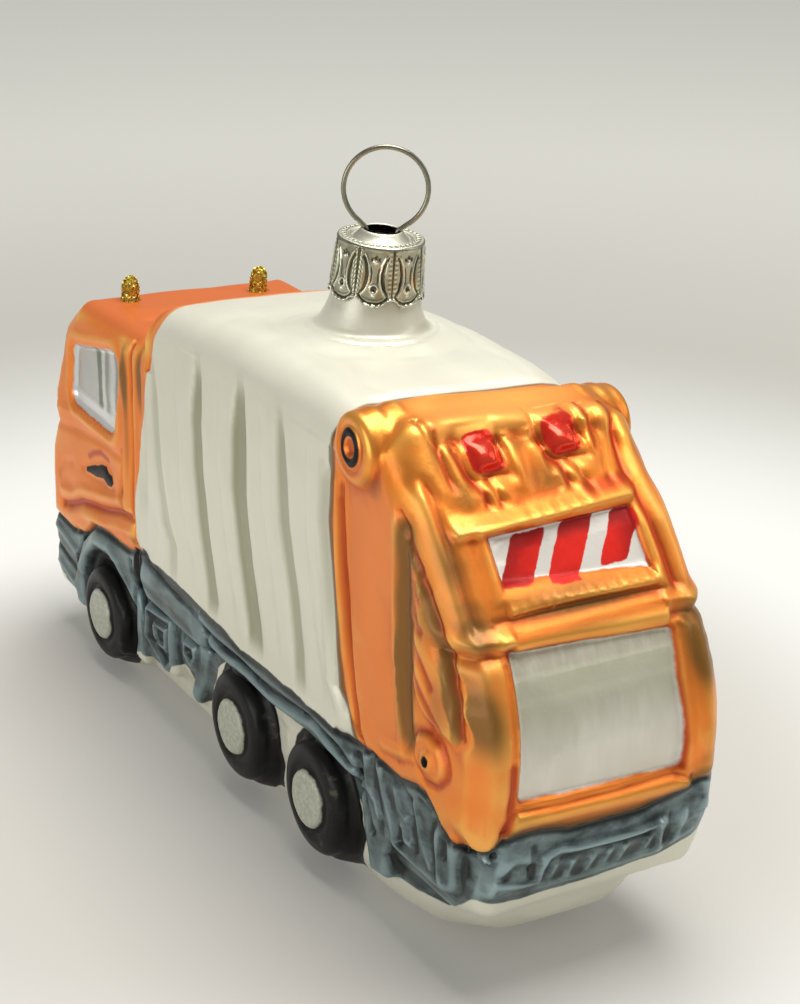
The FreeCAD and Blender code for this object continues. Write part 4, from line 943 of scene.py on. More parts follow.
def make_cap():
    n = 584
    th = np.arange(n) * 2 * np.pi / n
    ph = np.radians(55.8)                                   # middle of one panel
    k = (th - ph) / (np.pi / 4)
    u = (k - np.round(k)) * (np.pi / 4) * 6.1               # mm along the rim from the panel's middle
    au = np.abs(u)
    flat = 0.55 * (np.cos(np.pi / 8) / np.cos((k - np.round(k)) * np.pi / 4) - 0.965)     # panels are nearly flat between their ribs
    hem = 4.9 + 1.0 * sstep(au, 0.5, 2.2) - 0.12 * bump(au - 1.35, 0.3)
    rows = []
    nb = 84
    def emboss(h):
        t = np.interp(h, [5.0, 12.4], [1.04, 0.97])
        v = u / t
        a = np.abs(v)
        e = 0.10 * bump(a - 2.0, 0.2) * (0.62 + 0.38 * np.cos(2 * np.pi * h / 0.62 + 1.0 * (v > 0)))
        e -= 0.12 * bump(a - 2.38, 0.1)
        # two curved leaves standing back to back
        c = np.interp(h, [6.6, 7.4, 8.4, 9.4, 10.6, 11.9], [1.45, 1.0, 0.72, 0.70, 0.95, 1.5])
        m = sstep(h, 6.2, 6.9) * (1 - sstep(h, 11.5, 12.0))
        e += 0.15 * bump(a - c, 0.14) * m - 0.16 * bump(a - c - 0.36, 0.2) * m
        e += 0.07 * bump(a - 1.62, 0.14) * m - 0.10 * bump(a - c + 0.26, 0.12) * sstep(h, 7.8, 8.4) * (1 - sstep(h, 9.8, 10.6))
        # bead over a dimple, twice
        e += 0.2 * np.exp(-(v / 0.26) ** 2 - ((h - 10.95) / 0.24) ** 2) - 0.16 * np.exp(-(v / 0.2) ** 2 - ((h - 11.5) / 0.28) ** 2)
        e -= 0.14 * np.exp(-((a - 0.52) / 0.16) ** 2 - ((h - 11.3) / 0.22) ** 2)
        r = np.hypot(v * 1.1, h - 7.35)
        e += 0.16 * bump(r - 0.55, 0.14) - 0.2 * bump(r, 0.34)
        e += 0.2 * np.exp(-(v / 0.24) ** 2 - ((h - 6.5) / 0.2) ** 2)
        # leaf along the hem
        g = h - hem
        e += 0.14 * bump(g - 0.18, 0.16) - 0.12 * bump(g - 0.52, 0.16) * (1 - sstep(a, 1.7, 2.1)) + 0.08 * bump(g - 0.85, 0.14) * (1 - sstep(a, 1.5, 1.9))
        e += 0.06 * bump(g - 0.3, 0.2) * np.cos(v * 9)
        return e
    def wall(f):
        """One ring of the outer wall, f from the hem to the shoulder."""
        h = hem + (12.55 - hem) * f
        r = 6.4 + (5.9 - 6.4) * (h - 4.9) / 8.0
        e = emboss(h) * (1 - sstep(f, 0.975, 1.0))
        r = r + e + 0.1 * bump(h - hem, 0.5)
        r = r * (1 + flat * (1 - 0.6 * sstep(h, 12.2, 12.55)))
        return r, h
    def add(r, h):
        rows.append(np.stack([(r + 0 * th) * np.cos(th), (r + 0 * th) * np.sin(th), h + 0 * th], -1))
    outer = [wall(f) for f in np.linspace(0, 1, nb)]
    for r, h in outer:
        add(r, h)
    for a in np.radians([18, 36, 54, 72, 90]):
        add((5.9 - 0.35 * (1 - np.cos(a))) * (1 + 0.4 * flat), 12.55 + 0.35 * np.sin(a))
    # dimpled flat ring, low inner edge, smooth dish, raised collar
    ring = []
    for r in np.linspace(5.45, 4.35, 12):
        d = np.cos(th * 38 + 0.6 + 1.6 * (r - 5.0))
        dip = bump(r - 5.0, 0.26) * (0.5 + 0.5 * np.tanh(3.0 * (d - 0.15)))
        ring.append(-0.2 * dip)
        add(r * (1 + 0.4 * flat * (r - 4.35) / 1.1), 12.9 - 0.15 * dip + 0.05 * bump(r - 4.55, 0.12) + 0.04 * bump(r - 5.35, 0.12))
    for r, h in ((4.2, 12.86), (4.08, 12.72), (3.98, 12.62), (3.86, 12.62), (3.74, 12.7), (3.5, 12.93), (3.3, 13.13), (3.1, 13.35), (2.94, 13.56), (2.84, 13.7), (2.74, 13.79), (2.62, 13.82), (2.52, 13.78), (2.47, 13.7), (2.47, 13.58),
                 (2.56, 13.5), (2.8, 13.32), (3.1, 13.0), (3.45, 12.66), (3.7, 12.42), (3.9, 12.36), (4.2, 12.5), (4.5, 12.6), (5.1, 12.62), (5.45, 12.56), (5.6, 12.4)):
        add(r, h)
    for f in np.linspace(0.955, 0.0, 40):
        h = hem + (12.55 - hem) * f
        r = 6.4 + (5.9 - 6.4) * (h - 4.9) / 8.0
        add(r * (1 + flat * (1 - 0.6 * sstep(h, 12.2, 12.55))) - 0.26 + 0.8 * emboss(h) * (1 - sstep(f, 0.9, 0.955)) + 0.1 * bump(h - hem, 0.5), h + 0.03)
    R = np.stack(rows)
    V, F = ring_grid(R)
    me = new_mesh("cap_stamped", from_neck(V), F)
    smooth(me)
    # the cap's underside and inner wall get -0.3, so the material paints them dark: painted shade inside the cap
    hv = np.concatenate([emboss(h) for r, h in outer] + [np.zeros(n)] * 5 + ring + [np.zeros(n)] * (R.shape[0] - len(outer) - 69) + [np.full(n, -0.3)] * 52)
    attr(me, "emboss", hv)
    k0, k1 = len(outer) + 3, len(outer) + 5 + 12 + 14
    attr(me, "crown", np.concatenate([np.zeros(n * k0), np.ones(n * (k1 - k0)), np.zeros(n * (R.shape[0] - k1))]))
    return link("cap_stamped", me)

cap = make_cap()
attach(cap, "cap"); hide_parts("metal_cap")

def make_loop():
    """Spring wire: legs in the neck, waist in the cap's hole, round loop above."""
    R0, LZ, g = 5.55, 19.25, np.radians(35.0)
    lx, lz = R0 * np.sin(g), LZ - R0 * np.cos(g)
    pts = [(-3.1, 5.0), (-2.0, 13.65)]
    a = np.linspace(-np.pi / 2 - g, -np.pi / 2 - g - (2 * np.pi - 2 * g), 150)
    arc = [(R0 * np.cos(t), LZ + R0 * np.sin(t)) for t in a]
    def fillet(p, q, r, rad=0.8, k=9):
        p, q, r = map(np.array, (p, q, r))
        u, w = (p - q) / np.linalg.norm(p - q), (r - q) / np.linalg.norm(r - q)
        half = np.arccos(np.clip(u @ w, -1, 1)) / 2
        t = rad / np.tan(half)
        c = q + (u + w) / np.linalg.norm(u + w) * rad / np.sin(half)
        s, e = q + u * t - c, q + w * t - c
        a0 = np.arctan2(s[1], s[0]); a1 = np.arctan2(e[1], e[0])
        d = (a1 - a0 + np.pi) % (2 * np.pi) - np.pi
        return [tuple(c + rad * np.array([np.cos(a0 + d * i / k), np.sin(a0 + d * i / k)])) for i in range(k + 1)]
    left = [(-3.1, 5.0), (-2.85, 7.0), (-2.6, 9.0), (-2.35, 10.9)] + fillet((-3.1, 5.0), (-2.0, 13.65), (-lx, lz))
    right = [(-x, z) for x, z in left][::-1]
    line = np.array(left + arc + right)
    keep = [0]
    for i in range(1, len(line)):
        if np.linalg.norm(line[i] - line[keep[-1]]) > 0.06:
            keep.append(i)
    line = line[keep]
    T = np.gradient(line, axis=0)
    T /= np.linalg.norm(T, axis=1)[:, None]
    m = 24
    ang = np.arange(m) * 2 * np.pi / m
    N2 = np.stack([-T[:, 1], T[:, 0]], -1)
    rings = []
    r = np.full(len(line), 0.34)
    L = np.zeros((len(line), m, 3))
    ci, si = np.cos(ang), np.sin(ang)
    L[:, :, 0] = line[:, None, 0] + r[:, None] * ci * N2[:, None, 0]
    L[:, :, 2] = line[:, None, 1] + r[:, None] * ci * N2[:, None, 1]
    L[:, :, 1] = r[:, None] * si
    # rounded ends
    def cap_rings(i, s):
        out = []
        for f, rr in ((0.14, 0.29), (0.25, 0.2), (0.31, 0.08)):
            c = line[i] + T[i] * f * s
            q = np.zeros((m, 3))
            q[:, 0] = c[0] + rr * ci * N2[i, 0]; q[:, 2] = c[1] + rr * ci * N2[i, 1]; q[:, 1] = rr * si
            out.append(q)
        return out
    L = np.concatenate([np.array(cap_rings(0, -1)[::-1]), L, np.array(cap_rings(-1, 1))])
    k = L.shape[0]
    turn = np.radians(150.0)
    C, S = np.cos(turn), np.sin(turn)
    X = L.reshape(-1, 3)
    X = np.stack([X[:, 0] * C - X[:, 1] * S, X[:, 0] * S + X[:, 1] * C, X[:, 2]], -1)
    a = np.arange(k * m).reshape(k, m)
    b = np.roll(a, -1, 1)
    F = np.stack([a[:-1], a[1:], b[1:], b[:-1]], -1).reshape(-1, 4)
    V = from_neck(X)
    n0 = len(V)
    V = np.concatenate([V, [V[:m].mean(0), V[-m:].mean(0)]])
    tri = [(n0, a[0, i], b[0, i], b[0, i]) for i in range(m)] + [(n0 + 1, b[-1, i], a[-1, i], a[-1, i]) for i in range(m)]
    me = bpy.data.meshes.new("loop_wire")
    faces = [tuple(f) for f in F.tolist()] + [tuple(int(q) for q in t[:3]) for t in tri]
    me.from_pydata((V * 0.001).tolist(), [], faces)
    smooth(me)
    return link("loop_wire", me)

loop = make_loop()
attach(loop, "hanger"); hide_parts("hanger_loop")

def make_beacon(name, x0, y0, seed, tilt):
    """Knob thick with gold glitter: a lumpy core under hundreds of tiny plates."""
    rng = np.random.RandomState(seed)
    V, F = [], []
    n, m = 26, 22
    H = 4.15
    def prof(t):                                            # t 0 foot, 1 top
        r = 1.24 * np.sqrt(np.clip(1 - np.clip((t - 0.45) / 0.55, 0, 1) ** 2.3, 0, 1)) + 0.32 * bump(t, 0.13)
        return r
    zz = np.arange(54.0, 60.0, 0.02, dtype=F4)
    zf = float(zz[full_sdf(zz * 0 + x0, zz * 0 + y0 + SY, zz) < 0][-1]) - 0.35     # set into the roof
    tx, ty = tilt
    for i in range(m + 1):
        t = i / m
        for j in range(n):
            a = 2 * np.pi * j / n
            r = max(prof(t), 0.02) * (0.93 + 0.07 * rng.rand())
            V.append((x0 + tx * t + r * np.cos(a), y0 + SY + ty * t + r * np.sin(a), zf + H * t))
    for i in range(m):
        for j in range(n):
            k = (j + 1) % n
            F.append((i * n + j, i * n + k, (i + 1) * n + k, (i + 1) * n + j))
    c0 = len(V); V.append((x0, y0 + SY, zf)); c1 = len(V); V.append((x0 + tx, y0 + SY + ty, zf + H))
    for j in range(n):
        k = (j + 1) % n
        F.append((c0, k, j)); F.append((c1, m * n + j, m * n + k))
    # plates: thin six-sided flakes lying roughly on the knob
    for q in range(520):
        t = rng.rand() ** 0.9
        a = rng.rand() * 2 * np.pi
        foot = q > 470
        r = prof(t) + 0.03 if not foot else 1.35 + 0.75 * rng.rand() ** 1.5
        if foot:
            t = 0.02 + 0.03 * rng.rand()
        c = np.array([x0 + tx * t + r * np.cos(a), y0 + SY + ty * t + r * np.sin(a), zf + H * t + (0.10 if foot else 0)])
        e = 0.02
        slope = (prof(min(t + e, 1)) - prof(max(t - e, 0))) / (2 * e * H)
        nn = np.array([np.cos(a), np.sin(a), -slope]) if not foot else np.array([0, 0, 1.0])
        nn = nn / np.linalg.norm(nn) + rng.normal(size=3) * (0.42 if not foot else 0.12)
        nn /= np.linalg.norm(nn)
        p = np.cross(nn, rng.normal(size=3)); p /= np.linalg.norm(p); s = np.cross(nn, p)
        R = rng.uniform(0.13, 0.24)
        w = 0.03
        i0 = len(V)
        for sgn in (w, -w):
            for g in range(6):
                b = 2 * np.pi * g / 6
                V.append(tuple(c + nn * sgn + R * (np.cos(b) * p + np.sin(b) * s)))
        F.append(tuple(i0 + g for g in range(6)))
        F.append(tuple(i0 + 11 - g for g in range(6)))
        for g in range(6):
            h = (g + 1) % 6
            F.append((i0 + g, i0 + 6 + g, i0 + 6 + h, i0 + h))
    me = bpy.data.meshes.new(name)
    me.from_pydata([(a * 0.001, b * 0.001, c * 0.001) for a, b, c in V], [], F)
    me.update()
    tone = np.repeat(rng.rand(520), 12)
    attr(me, "tone", np.concatenate([np.full(len(V) - len(tone), 0.15), tone]))
    return link(name, me)

beacons = []
for name, node, (bx, by), seed, tilt in (("beacon_left_glitter", "beacon_left", (10.6, -58.7), 4, (-0.1, 0.1)), ("beacon_right_glitter", "beacon_right", (-10.0, -56.6), 9, (-0.35, 0.1))):
    b = make_beacon(name, bx, by, seed, tilt)
    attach(b, "ornament"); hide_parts(node)
    beacons.append(b)
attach(glass, "ornament"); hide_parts("glass_body")
print("pieces %.1f s" % (time.time() - T0))

# ------------------------------------------------------------------ materials
class Tree:
    def __init__(self, name):
        self.mat = bpy.data.materials.new(name)
        self.mat.use_nodes = True
        self.nt = self.mat.node_tree
        self.bsdf = self.nt.nodes["Principled BSDF"]
        self.pos = self.new("ShaderNodeTexCoord").outputs["Object"]

    def new(self, kind, **kw):
        n = self.nt.nodes.new(kind)
        for k, v in kw.items():
            setattr(n, k, v)
        return n

    def put(self, sock, v):
        if isinstance(v, (int, float)):
            sock.default_value = v
        elif isinstance(v, tuple):
            sock.default_value = (*v, 1.0) if len(v) == 3 and sock.type == "RGBA" else v
        else:
            self.nt.links.new(v, sock)

    def attr(self, name):
        return self.new("ShaderNodeAttribute", attribute_name=name).outputs["Fac"]

    def math(self, op, a, b=0.0, c=0.0, clamp=False):
        n = self.new("ShaderNodeMath", operation=op, use_clamp=clamp)
        for s, v in zip(n.inputs, (a, b, c)):
            self.put(s, v)
        return n.outputs[0]

    def step(self, x, lo, hi, a=0.0, b=1.0, kind="SMOOTHSTEP"):
        n = self.new("ShaderNodeMapRange", interpolation_type=kind)
        for s, v in zip(n.inputs[:5], (x, lo, hi, a, b)):
            self.put(s, v)
        return n.outputs[0]

    def mix(self, f, a, b, mode="MIX"):
        n = self.new("ShaderNodeMix", data_type="RGBA", blend_type=mode)
        self.put(n.inputs[0], f); self.put(n.inputs[6], a); self.put(n.inputs[7], b)
        return n.outputs[2]

    def mixf(self, f, a, b):
        n = self.new("ShaderNodeMix", data_type="FLOAT")
        self.put(n.inputs[0], f); self.put(n.inputs[2], a); self.put(n.inputs[3], b)
        return n.outputs[0]

    def noise(self, scale, detail=3.0, rough=0.5, stretch=None, shift=0.0):
        """Noise about 0.5; scale is in waves per metre."""
        v = self.pos
        m = self.new("ShaderNodeMapping")
        self.put(m.inputs["Vector"], v)
        m.inputs["Location"].default_value = (shift, shift * 0.7, shift * 1.3)
        if stretch:
            m.inputs["Scale"].default_value = stretch
        n = self.new("ShaderNodeTexNoise")
        self.put(n.inputs["Vector"], m.outputs[0])
        n.inputs["Scale"].default_value = scale
        n.inputs["Detail"].default_value = detail
        n.inputs["Roughness"].default_value = rough
        return n.outputs["Fac"]

    def bump(self, height, strength, dist):
        n = self.new("ShaderNodeBump")
        n.inputs["Strength"].default_value = strength
        n.inputs["Distance"].default_value = dist
        self.put(n.inputs["Height"], height)
        self.put(self.bsdf.inputs["Normal"], n.outputs[0])

    def set(self, **kw):
        names = dict(color="Base Color", metal="Metallic", rough="Roughness", coat="Coat Weight", coat_rough="Coat Roughness", ior="IOR", spec="Specular IOR Level")
        for k, v in kw.items():
            self.put(self.bsdf.inputs[names[k]], v)

def glass_material():
    T = Tree("painted silvered glass")
    n1, n2, n3 = T.noise(120, 3), T.noise(420, 4, 0.6), T.noise(1800, 3, 0.6)
    nj = T.math("MULTIPLY_ADD", n2, 0.9, -0.45)            # mm of unsteadiness at the paint's edges
    def zone(name, soft=0.12, shift=0.0):
        d = T.math("ADD", T.attr(name), T.math("MULTIPLY", nj, 0.5))
        return T.step(d, shift - soft, shift + soft)
    cav, grv = T.attr("cav"), T.attr("groove")
    hol = T.step(cav, 0.02, 0.22)                          # 1 in hollows
    rdg = T.step(cav, -0.03, -0.22)                        # 1 on ridges
    deep = T.step(grv, 0.12, 0.6)
    dark_shading = T.attr("painted_dark_shading")
    plate = T.attr("plate")
    # pearl white over silver
    white = T.mix(n1, (0.74, 0.725, 0.60), (0.80, 0.785, 0.665))
    gro = T.attr("gro")
    # painted shade: darker olive-grey in hollows and in the grooves
    white = T.mix(T.math("MAXIMUM", T.math("MULTIPLY", hol, 0.55), gro), white, (0.37, 0.355, 0.245))
    w_metal = T.mixf(gro, 0.30, 0.5)
    w_rough = T.mixf(n1, 0.34, 0.42)
    col, metal, rough = white, w_metal, w_rough
    # orange lacquer over silver: painted golden highlights on ridges and at the highlight patches, painted red-brown
    # shade in hollows
    gold = T.mix(n1, (0.97, 0.30, 0.036), (0.92, 0.225, 0.020))
    warm = T.step(T.noise(75, 2, 0.5, (1.2, 1.0, 0.8), 2.3), 0.50, 0.70)
    gold = T.mix(T.math("MULTIPLY", warm, 0.55), gold, (0.60, 0.215, 0.034))
    gold = T.mix(T.math("MAXIMUM", T.math("MULTIPLY", rdg, 0.8), T.attr("lit")), gold, (1.0, 0.52, 0.09))
    gold = T.mix(T.math("MULTIPLY", T.step(cav, 0.005, 0.15), 0.95), gold, (0.50, 0.050, 0.004))
    # matter orange: the same painted highlights on ridges and patches, painted shade in hollows
    matt = T.mix(n1, (0.96, 0.285, 0.045), (0.88, 0.220, 0.028))
    matt = T.mix(T.math("MAXIMUM", T.math("MULTIPLY", rdg, 0.5), T.attr("lit")), matt, (1.0, 0.62, 0.14))
    matt = T.mix(T.math("MULTIPLY", hol, 0.8), matt, (0.45, 0.055, 0.006))
    orange = T.mix(plate, gold, matt)
    # darker red: painted shade on upward faces, and red-tinted patches on the tailgate's side
    orange = T.mix(T.attr("red_tint_and_top_shade"), orange, (0.70, 0.165, 0.036))
    # painted shade and painted dark reflections, olive-brown
    orange = T.mix(T.math("MULTIPLY", T.step(dark_shading, 0.15, 0.95), 0.9), orange, (0.19, 0.095, 0.018))
    orange = T.mix(T.step(T.attr("redline"), -0.55, 0.30, 0.0, 0.9), orange, (0.48, 0.050, 0.006))
    zo = zone("orange")
    col = T.mix(zo, col, orange)
    metal = T.mixf(zo, metal, T.mixf(plate, 0.76, 0.40))
    rough = T.mixf(zo, rough, T.mixf(plate, T.mixf(n2, 0.29, 0.39), 0.45))
    # brown hem of the tailgate's paint
    col = T.mix(T.step(T.attr("brown"), -0.35, 0.2, 0.0, 0.82), col, (0.12, 0.062, 0.016))
    # hopper panel and sign: pearl silver
    zh = zone("hopper", 0.2)
    pearl = T.mix(T.step(T.noise(90, 3, 0.6, (2.6, 1, 0.7)), 0.35, 0.68), (0.64, 0.62, 0.51), (0.74, 0.72, 0.62))
    pxyz = T.new("ShaderNodeSeparateXYZ"); T.put(pxyz.inputs[0], T.pos)
    pz = T.math("MULTIPLY_ADD", pxyz.outputs[2], 1000.0, T.math("MULTIPLY", T.noise(240, 3, 0.6, (3.0, 1, 0.5)), 3.0))
    # painted shading of the panel's bulge: lighter at the bottom, a darker band across the middle, light streaks near
    # the top as a painted highlight, and a painted shadow just under the rim
    pearl = T.mix(T.step(pz, 33.0, 41.0), T.mix(0.35, pearl, (0.84, 0.79, 0.73)), pearl)
    pearl = T.mix(T.math("MULTIPLY", T.step(pz, 36.0, 42.0), T.step(pz, 46.5, 44.0)), pearl, (0.56, 0.55, 0.42))
    streaks = T.step(T.noise(420, 3, 0.6, (2.4, 1, 0.10)), 0.36, 0.70)
    pearl = T.mix(T.math("MULTIPLY", T.step(pz, 42.6, 45.2, 0.0, 0.55), streaks), pearl, (0.78, 0.75, 0.64))
    pearl = T.mix(T.math("MULTIPLY", T.step(pz, 44.6, 45.6), T.math("MULTIPLY_ADD", streaks, -0.35, 0.65)), pearl, (0.54, 0.50, 0.38))
    col = T.mix(zh, col, pearl); metal = T.mixf(zh, metal, 0.42); rough = T.mixf(zh, rough, 0.42)
    zs = zone("sign", 0.1)
    col = T.mix(zs, col, (0.84, 0.80, 0.74)); metal = T.mixf(zs, metal, 0.35); rough = T.mixf(zs, rough, 0.32)
    # stripes and lamps: transparent red over silver
    xyz = T.new("ShaderNodeSeparateXYZ"); T.put(xyz.inputs[0], T.pos)
    X, Z = T.math("MULTIPLY", xyz.outputs[0], 1000.0), T.math("MULTIPLY", xyz.outputs[2], 1000.0)
    s = T.math("MULTIPLY_ADD", T.math("SUBTRACT", Z, 53.7), 0.82, X)
    d = None
    for c, half, top, bot in ((5.7, 2.35, 56.0, 51.15), (-1.05, 2.35, 56.5, 50.75), (-8.2, 2.1, 56.4, 51.1)):
        u = T.math("SUBTRACT", half, T.math("ABSOLUTE", T.math("SUBTRACT", s, c)))
        v = T.math("MINIMUM", T.math("SUBTRACT", top, Z), T.math("SUBTRACT", Z, bot))
        n = T.new("ShaderNodeMath", operation="SMOOTH_MIN")
        T.put(n.inputs[0], u); T.put(n.inputs[1], v); n.inputs[2].default_value = 0.9
        d = n.outputs[0] if d is None else T.math("MAXIMUM", d, n.outputs[0])
    drip = T.math("MINIMUM", T.math("SUBTRACT", 1.0, T.math("ABSOLUTE", T.math("SUBTRACT", X, 0.2))), T.math("MINIMUM", T.math("SUBTRACT", Z, 49.9), T.math("SUBTRACT", 51.6, Z)))
    d = T.math("MAXIMUM", d, drip)
    d = T.math("MINIMUM", d, T.math("ADD", T.attr("sign"), 0.55))
    zr = T.step(T.math("ADD", d, T.math("MULTIPLY", nj, 0.8)), -0.08, 0.12)
    red = T.mix(n2, (0.92, 0.026, 0.012), (0.66, 0.012, 0.008))
    # painted shade: darker red in hollows
    red = T.mix(T.math("MULTIPLY", hol, 0.8), red, (0.30, 0.004, 0.004))
    col = T.mix(zr, col, red); metal = T.mixf(zr, metal, 0.1); rough = T.mixf(zr, rough, 0.3)
    zl = zone("lamp", 0.15)
    # painted highlight: the lamps lighter red, most on their ridges
    lred = T.mix(T.math("MULTIPLY_ADD", rdg, 0.45, 0.25), red, (1.0, 0.075, 0.035))
    col = T.mix(zl, col, lred); metal = T.mixf(zl, metal, 0.6); rough = T.mixf(zl, rough, 0.16)
    # silver windows with painted reflections: green-grey streaks and dark and light bands across the pane; pale and
    # less metallic along the lower edge
    zw = zone("window", 0.15)
    reflection_streak = T.noise(60, 4, 0.6, (3.0, 9.0, 1.0))
    silver = T.mix(T.step(reflection_streak, 0.60, 0.70), (0.60, 0.62, 0.61), (0.24, 0.26, 0.20))
    Y = T.math("ADD", T.math("MULTIPLY_ADD", xyz.outputs[1], 1000.0, -SY), T.math("MULTIPLY", nj, 1.6))
    for y0, w, c in ((-55.2, 0.8, (0.11, 0.13, 0.075)), (-53.8, 0.5, (0.80, 0.80, 0.76)), (-52.4, 0.6, (0.30, 0.32, 0.29)), (-50.4, 0.7, (0.80, 0.80, 0.78)), (-48.9, 0.5, (0.30, 0.32, 0.30))):
        silver = T.mix(T.step(T.math("ABSOLUTE", T.math("SUBTRACT", Y, y0)), w + 0.35, w - 0.3, 0.0, 0.8), silver, c)
    silver = T.mix(T.step(Z, 43.4, 42.2), silver, (0.86, 0.86, 0.84))
    col = T.mix(zw, col, silver); metal = T.mixf(zw, metal, T.step(Z, 42.4, 43.8, 0.35, 0.85)); rough = T.mixf(zw, rough, 0.24)
    # grey-blue chassis: thin brushed paint, with painted shade in the recesses and a painted teal highlight on the
    # raised strokes
    zg = zone("grey", 0.15)
    brush = T.noise(260, 4, 0.65, (1.0, 0.6, 1.6), 0.3)
    g = T.mix(T.step(brush, 0.30, 0.70), (0.040, 0.056, 0.058), (0.145, 0.195, 0.197))
    g = T.mix(T.math("MULTIPLY", T.step(cav, -0.02, -0.2), 0.85), g, (0.25, 0.34, 0.35))
    g = T.mix(T.math("MULTIPLY", T.step(cav, 0.0, 0.14), 0.92), g, (0.018, 0.021, 0.020))
    g = T.mix(T.math("MULTIPLY", T.step(T.attr("seam"), 1.1, 0.3), 0.85), g, (0.022, 0.022, 0.018))
    # lighter on the rear bumper, painted shadow along the rail's top
    g = T.mix(1.0, g, T.attr("gtone"), "MULTIPLY")
    col = T.mix(zg, col, g); metal = T.mixf(zg, metal, 0.30); rough = T.mixf(zg, rough, T.mixf(brush, 0.30, 0.44))
    # black tyres with a few dull specks
    zt = zone("tyre", 0.12)
    speck = T.math("MULTIPLY", T.step(T.noise(480, 2, 0.5, (1.0, 1.0, 1.5), 0.5), 0.54, 0.72), T.step(T.noise(210, 2, 0.5, None, 0.8), 0.54, 0.68))
    b = T.mix(T.math("MULTIPLY", speck, 0.7), (0.0022, 0.0022, 0.0020), (0.10, 0.085, 0.055))
    # satin ring round the hub: rougher, and a shade lighter as a painted sheen
    b = T.mix(T.math("MULTIPLY", T.step(T.attr("wheel_r"), 6.4, 4.4), 0.8), b, (0.007, 0.007, 0.006))
    col = T.mix(zt, col, b); metal = T.mixf(zt, metal, 0.0); rough = T.mixf(zt, rough, T.step(T.attr("wheel_r"), 5.2, 6.6, 0.5, 0.38))
    # frosted hubs
    zu = zone("hub", 0.12, 0.0)
    frost = T.step(n3, 0.40, 0.68)
    hb = T.mix(frost, (0.44, 0.45, 0.36), (0.54, 0.55, 0.47))
    col = T.mix(zu, col, hb); metal = T.mixf(zu, metal, 0.2); rough = T.mixf(zu, rough, T.mixf(frost, 0.5, 0.3))
    # black details, and painted shade: the neck's bore and the gap behind the front wheel's arch
    zk = zone("black_and_shade", 0.1)
    col = T.mix(zk, col, (0.006, 0.005, 0.005)); metal = T.mixf(zk, metal, 0.0); rough = T.mixf(zk, rough, 0.5)
    dark = T.math("MAXIMUM", zt, zk)
    T.set(color=col, metal=metal, rough=rough, coat=T.mixf(dark, 0.12, 0.03), coat_rough=0.12, spec=T.mixf(dark, 0.35, 0.22))
    T.bump(T.math("ADD", T.math("MULTIPLY", n2, 0.7), T.math("MULTIPLY", n3, 0.3)), 0.10, 0.0006)
    return T.mat

def cap_material():
    T = Tree("stamped silver cap")
    n = T.noise(900, 3, 0.6)
    e = T.attr("emboss")
    col = T.mix(n, (0.66, 0.65, 0.54), (0.84, 0.83, 0.72))
    crown = T.attr("crown")
    tarnish = T.step(T.noise(300, 3, 0.6, None, 0.4), 0.42, 0.64)
    col = T.mix(0.7, col, (0.44, 0.43, 0.30))
    col = T.mix(T.math("MULTIPLY", tarnish, 0.5), col, (0.17, 0.165, 0.09))
    # painted highlight on the raised lines
    col = T.mix(T.step(e, 0.05, 0.14), col, (0.84, 0.83, 0.71))
    # painted highlight on the top face
    col = T.mix(T.math("MULTIPLY", crown, 0.95), col, (0.80, 0.79, 0.655))
    # painted shade in the recesses, the dimples and inside the cap
    col = T.mix(T.step(e, 0.01, -0.06, 0.0, 0.9), col, (0.060, 0.056, 0.028))
    T.set(color=col, metal=1.0, rough=T.mixf(crown, T.mixf(n, 0.22, 0.36), T.mixf(n, 0.40, 0.50)))
    T.bump(n, 0.06, 0.0003)
    return T.mat

def wire_material():
    T = Tree("spring wire")
    n = T.noise(1500, 3, 0.6)
    T.set(color=T.mix(n, (0.21, 0.20, 0.15), (0.36, 0.345, 0.27)), metal=1.0, rough=T.mixf(n, 0.24, 0.36))
    T.bump(n, 0.05, 0.0002)
    return T.mat

def glitter_material():
    T = Tree("gold glitter")
    t = T.attr("tone")
    n = T.noise(2500, 2)
    col = T.mix(t, (0.46, 0.33, 0.03), (0.90, 0.74, 0.20))
    col = T.mix(T.math("MULTIPLY", n, 0.4), col, (0.22, 0.15, 0.012))
    T.set(color=col, metal=1.0, rough=T.mixf(t, 0.48, 0.26))
    return T.mat

gm, cm, wm, bm = glass_material(), cap_material(), wire_material(), glitter_material()
for ob, m in [(glass, gm), (cap, cm), (loop, wm)] + [(b, bm) for b in beacons]:
    ob.data.materials.clear()
    ob.data.materials.append(m)
for n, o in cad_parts.items():
    o.data.materials.clear()
    o.data.materials.append({"glass_body": gm, "metal_cap": cm, "hanger_loop": wm}.get(n, bm))

# ------------------------------------------------------------------ camera
YAW, PITCH, ROLL = math.radians(30.204), math.radians(21.755), math.radians(0.967)
CAM = Vector((144.402, 254.110 + SY, 92.353 + 68.0)) * 0.001
fw = Vector((-math.sin(YAW) * math.cos(PITCH), -math.cos(YAW) * math.cos(PITCH), -math.sin(PITCH)))
right = fw.cross(Vector((0, 0, 1))).normalized()
up = right.cross(fw)
R = math.cos(ROLL) * right + math.sin(ROLL) * up
U = -math.sin(ROLL) * right + math.cos(ROLL) * up
cam_data = bpy.data.cameras.new("camera")
cam = bpy.data.objects.new("camera", cam_data)
bpy.context.scene.collection.objects.link(cam)
M = Matrix((R, U, -fw)).transposed().to_4x4()
M.translation = CAM
cam.matrix_world = M
cam_data.sensor_width = 36.0
cam_data.lens = 2300 * 36.0 / 1004
cam_data.clip_start = 0.01
bpy.context.scene.camera = cam

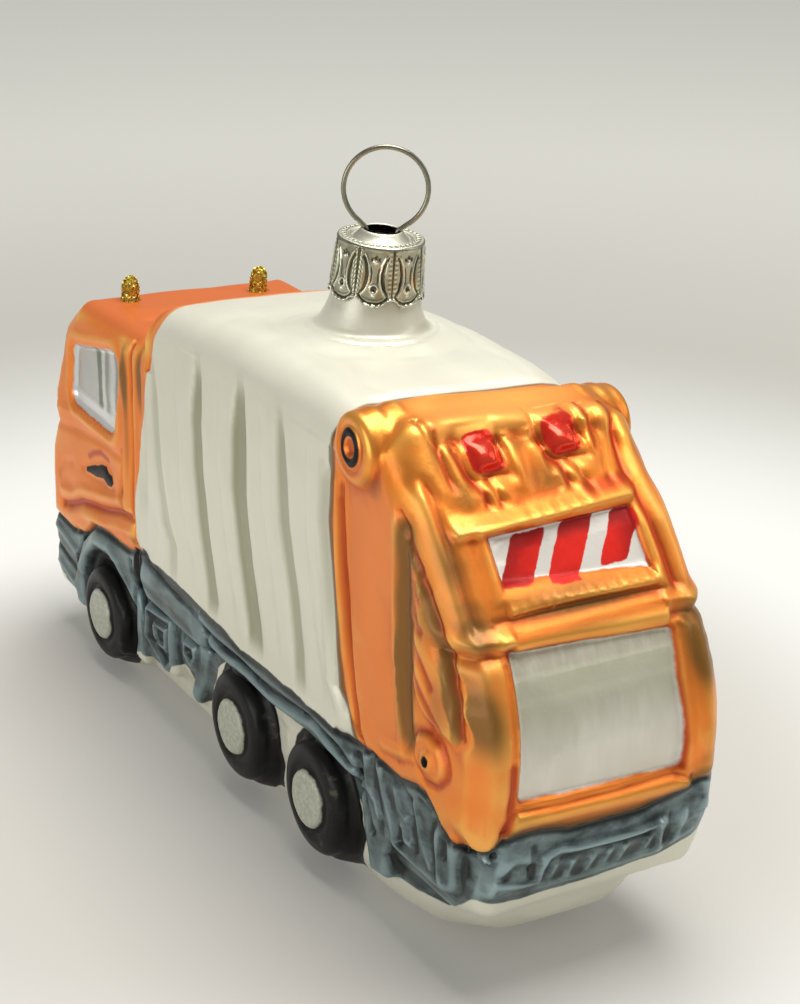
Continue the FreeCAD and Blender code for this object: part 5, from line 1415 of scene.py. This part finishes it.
# ------------------------------------------------------------------ floor, light, finish
def floor_material():
    T = Tree("pale paper floor")
    s = T.new("ShaderNodeSeparateXYZ")
    T.put(s.inputs[0], T.pos)
    r = T.math("SQRT", T.math("ADD", T.math("MULTIPLY", s.outputs[0], s.outputs[0]), T.math("MULTIPLY", s.outputs[1], s.outputs[1])))
    r = T.math("ADD", r, T.math("MULTIPLY_ADD", T.noise(6, 2), 0.03, -0.015))
    # painted light: darker near the ornament, a brighter ring, darker far off, standing in for the light's fall towards
    # a backdrop
    near, ring, far = (0.43, 0.42, 0.395), (0.62, 0.625, 0.61), (0.34, 0.335, 0.305)
    T.set(color=T.mix(T.step(r, 0.105, 0.215), T.mix(T.step(r, 0.055, 0.105), near, ring), far), rough=0.9)
    # painted light: the floor glows, more the farther out, which also lightens the cast shadow
    T.put(T.bsdf.inputs["Emission Color"], (0.98, 0.97, 0.90))
    T.put(T.bsdf.inputs["Emission Strength"], T.step(r, 0.16, 0.42, 0.14, 0.37))
    T.bsdf.inputs["Specular IOR Level"].default_value = 0.1
    return T.mat

fm = bpy.data.meshes.new("floor")
fm.from_pydata([(-3, -3, 0), (3, -3, 0), (3, 3, 0), (-3, 3, 0)], [], [(0, 1, 2, 3)])
floor = link("floor", fm)
fm.materials.append(floor_material())

world = bpy.data.worlds.new("studio"); bpy.context.scene.world = world
world.use_nodes = True
bg = world.node_tree.nodes["Background"]
bg.inputs[0].default_value = (0.98, 0.98, 0.95, 1)
bg.inputs[1].default_value = 0.27

def area(name, loc, look, size, energy, col=(1, 1, 1), shape=None):
    l = bpy.data.lights.new(name, "AREA")
    l.shape = "RECTANGLE"
    l.size, l.size_y = size
    l.energy = energy
    l.color = col
    o = bpy.data.objects.new(name, l)
    bpy.context.scene.collection.objects.link(o)
    o.location = loc
    o.rotation_euler = (Vector(look) - Vector(loc)).to_track_quat("-Z", "Y").to_euler()
    return o

area("top", (-0.10, 0.00, 0.60), (0, 0.01, 0.03), (0.50, 0.35), 4.6, (1.0, 0.985, 0.95))
area("back right", (-0.50, 0.25, 0.35), (0, 0.03, 0.04), (0.20, 0.35), 0.35, (1.0, 0.97, 0.92))
area("left fill", (0.58, 0.06, 0.16), (0, 0, 0.03), (0.40, 0.26), 0.95, (1.0, 0.995, 0.98))
bpy.context.scene.view_settings.view_transform = "Standard"
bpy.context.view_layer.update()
print("script %.1f s" % (time.time() - T0))
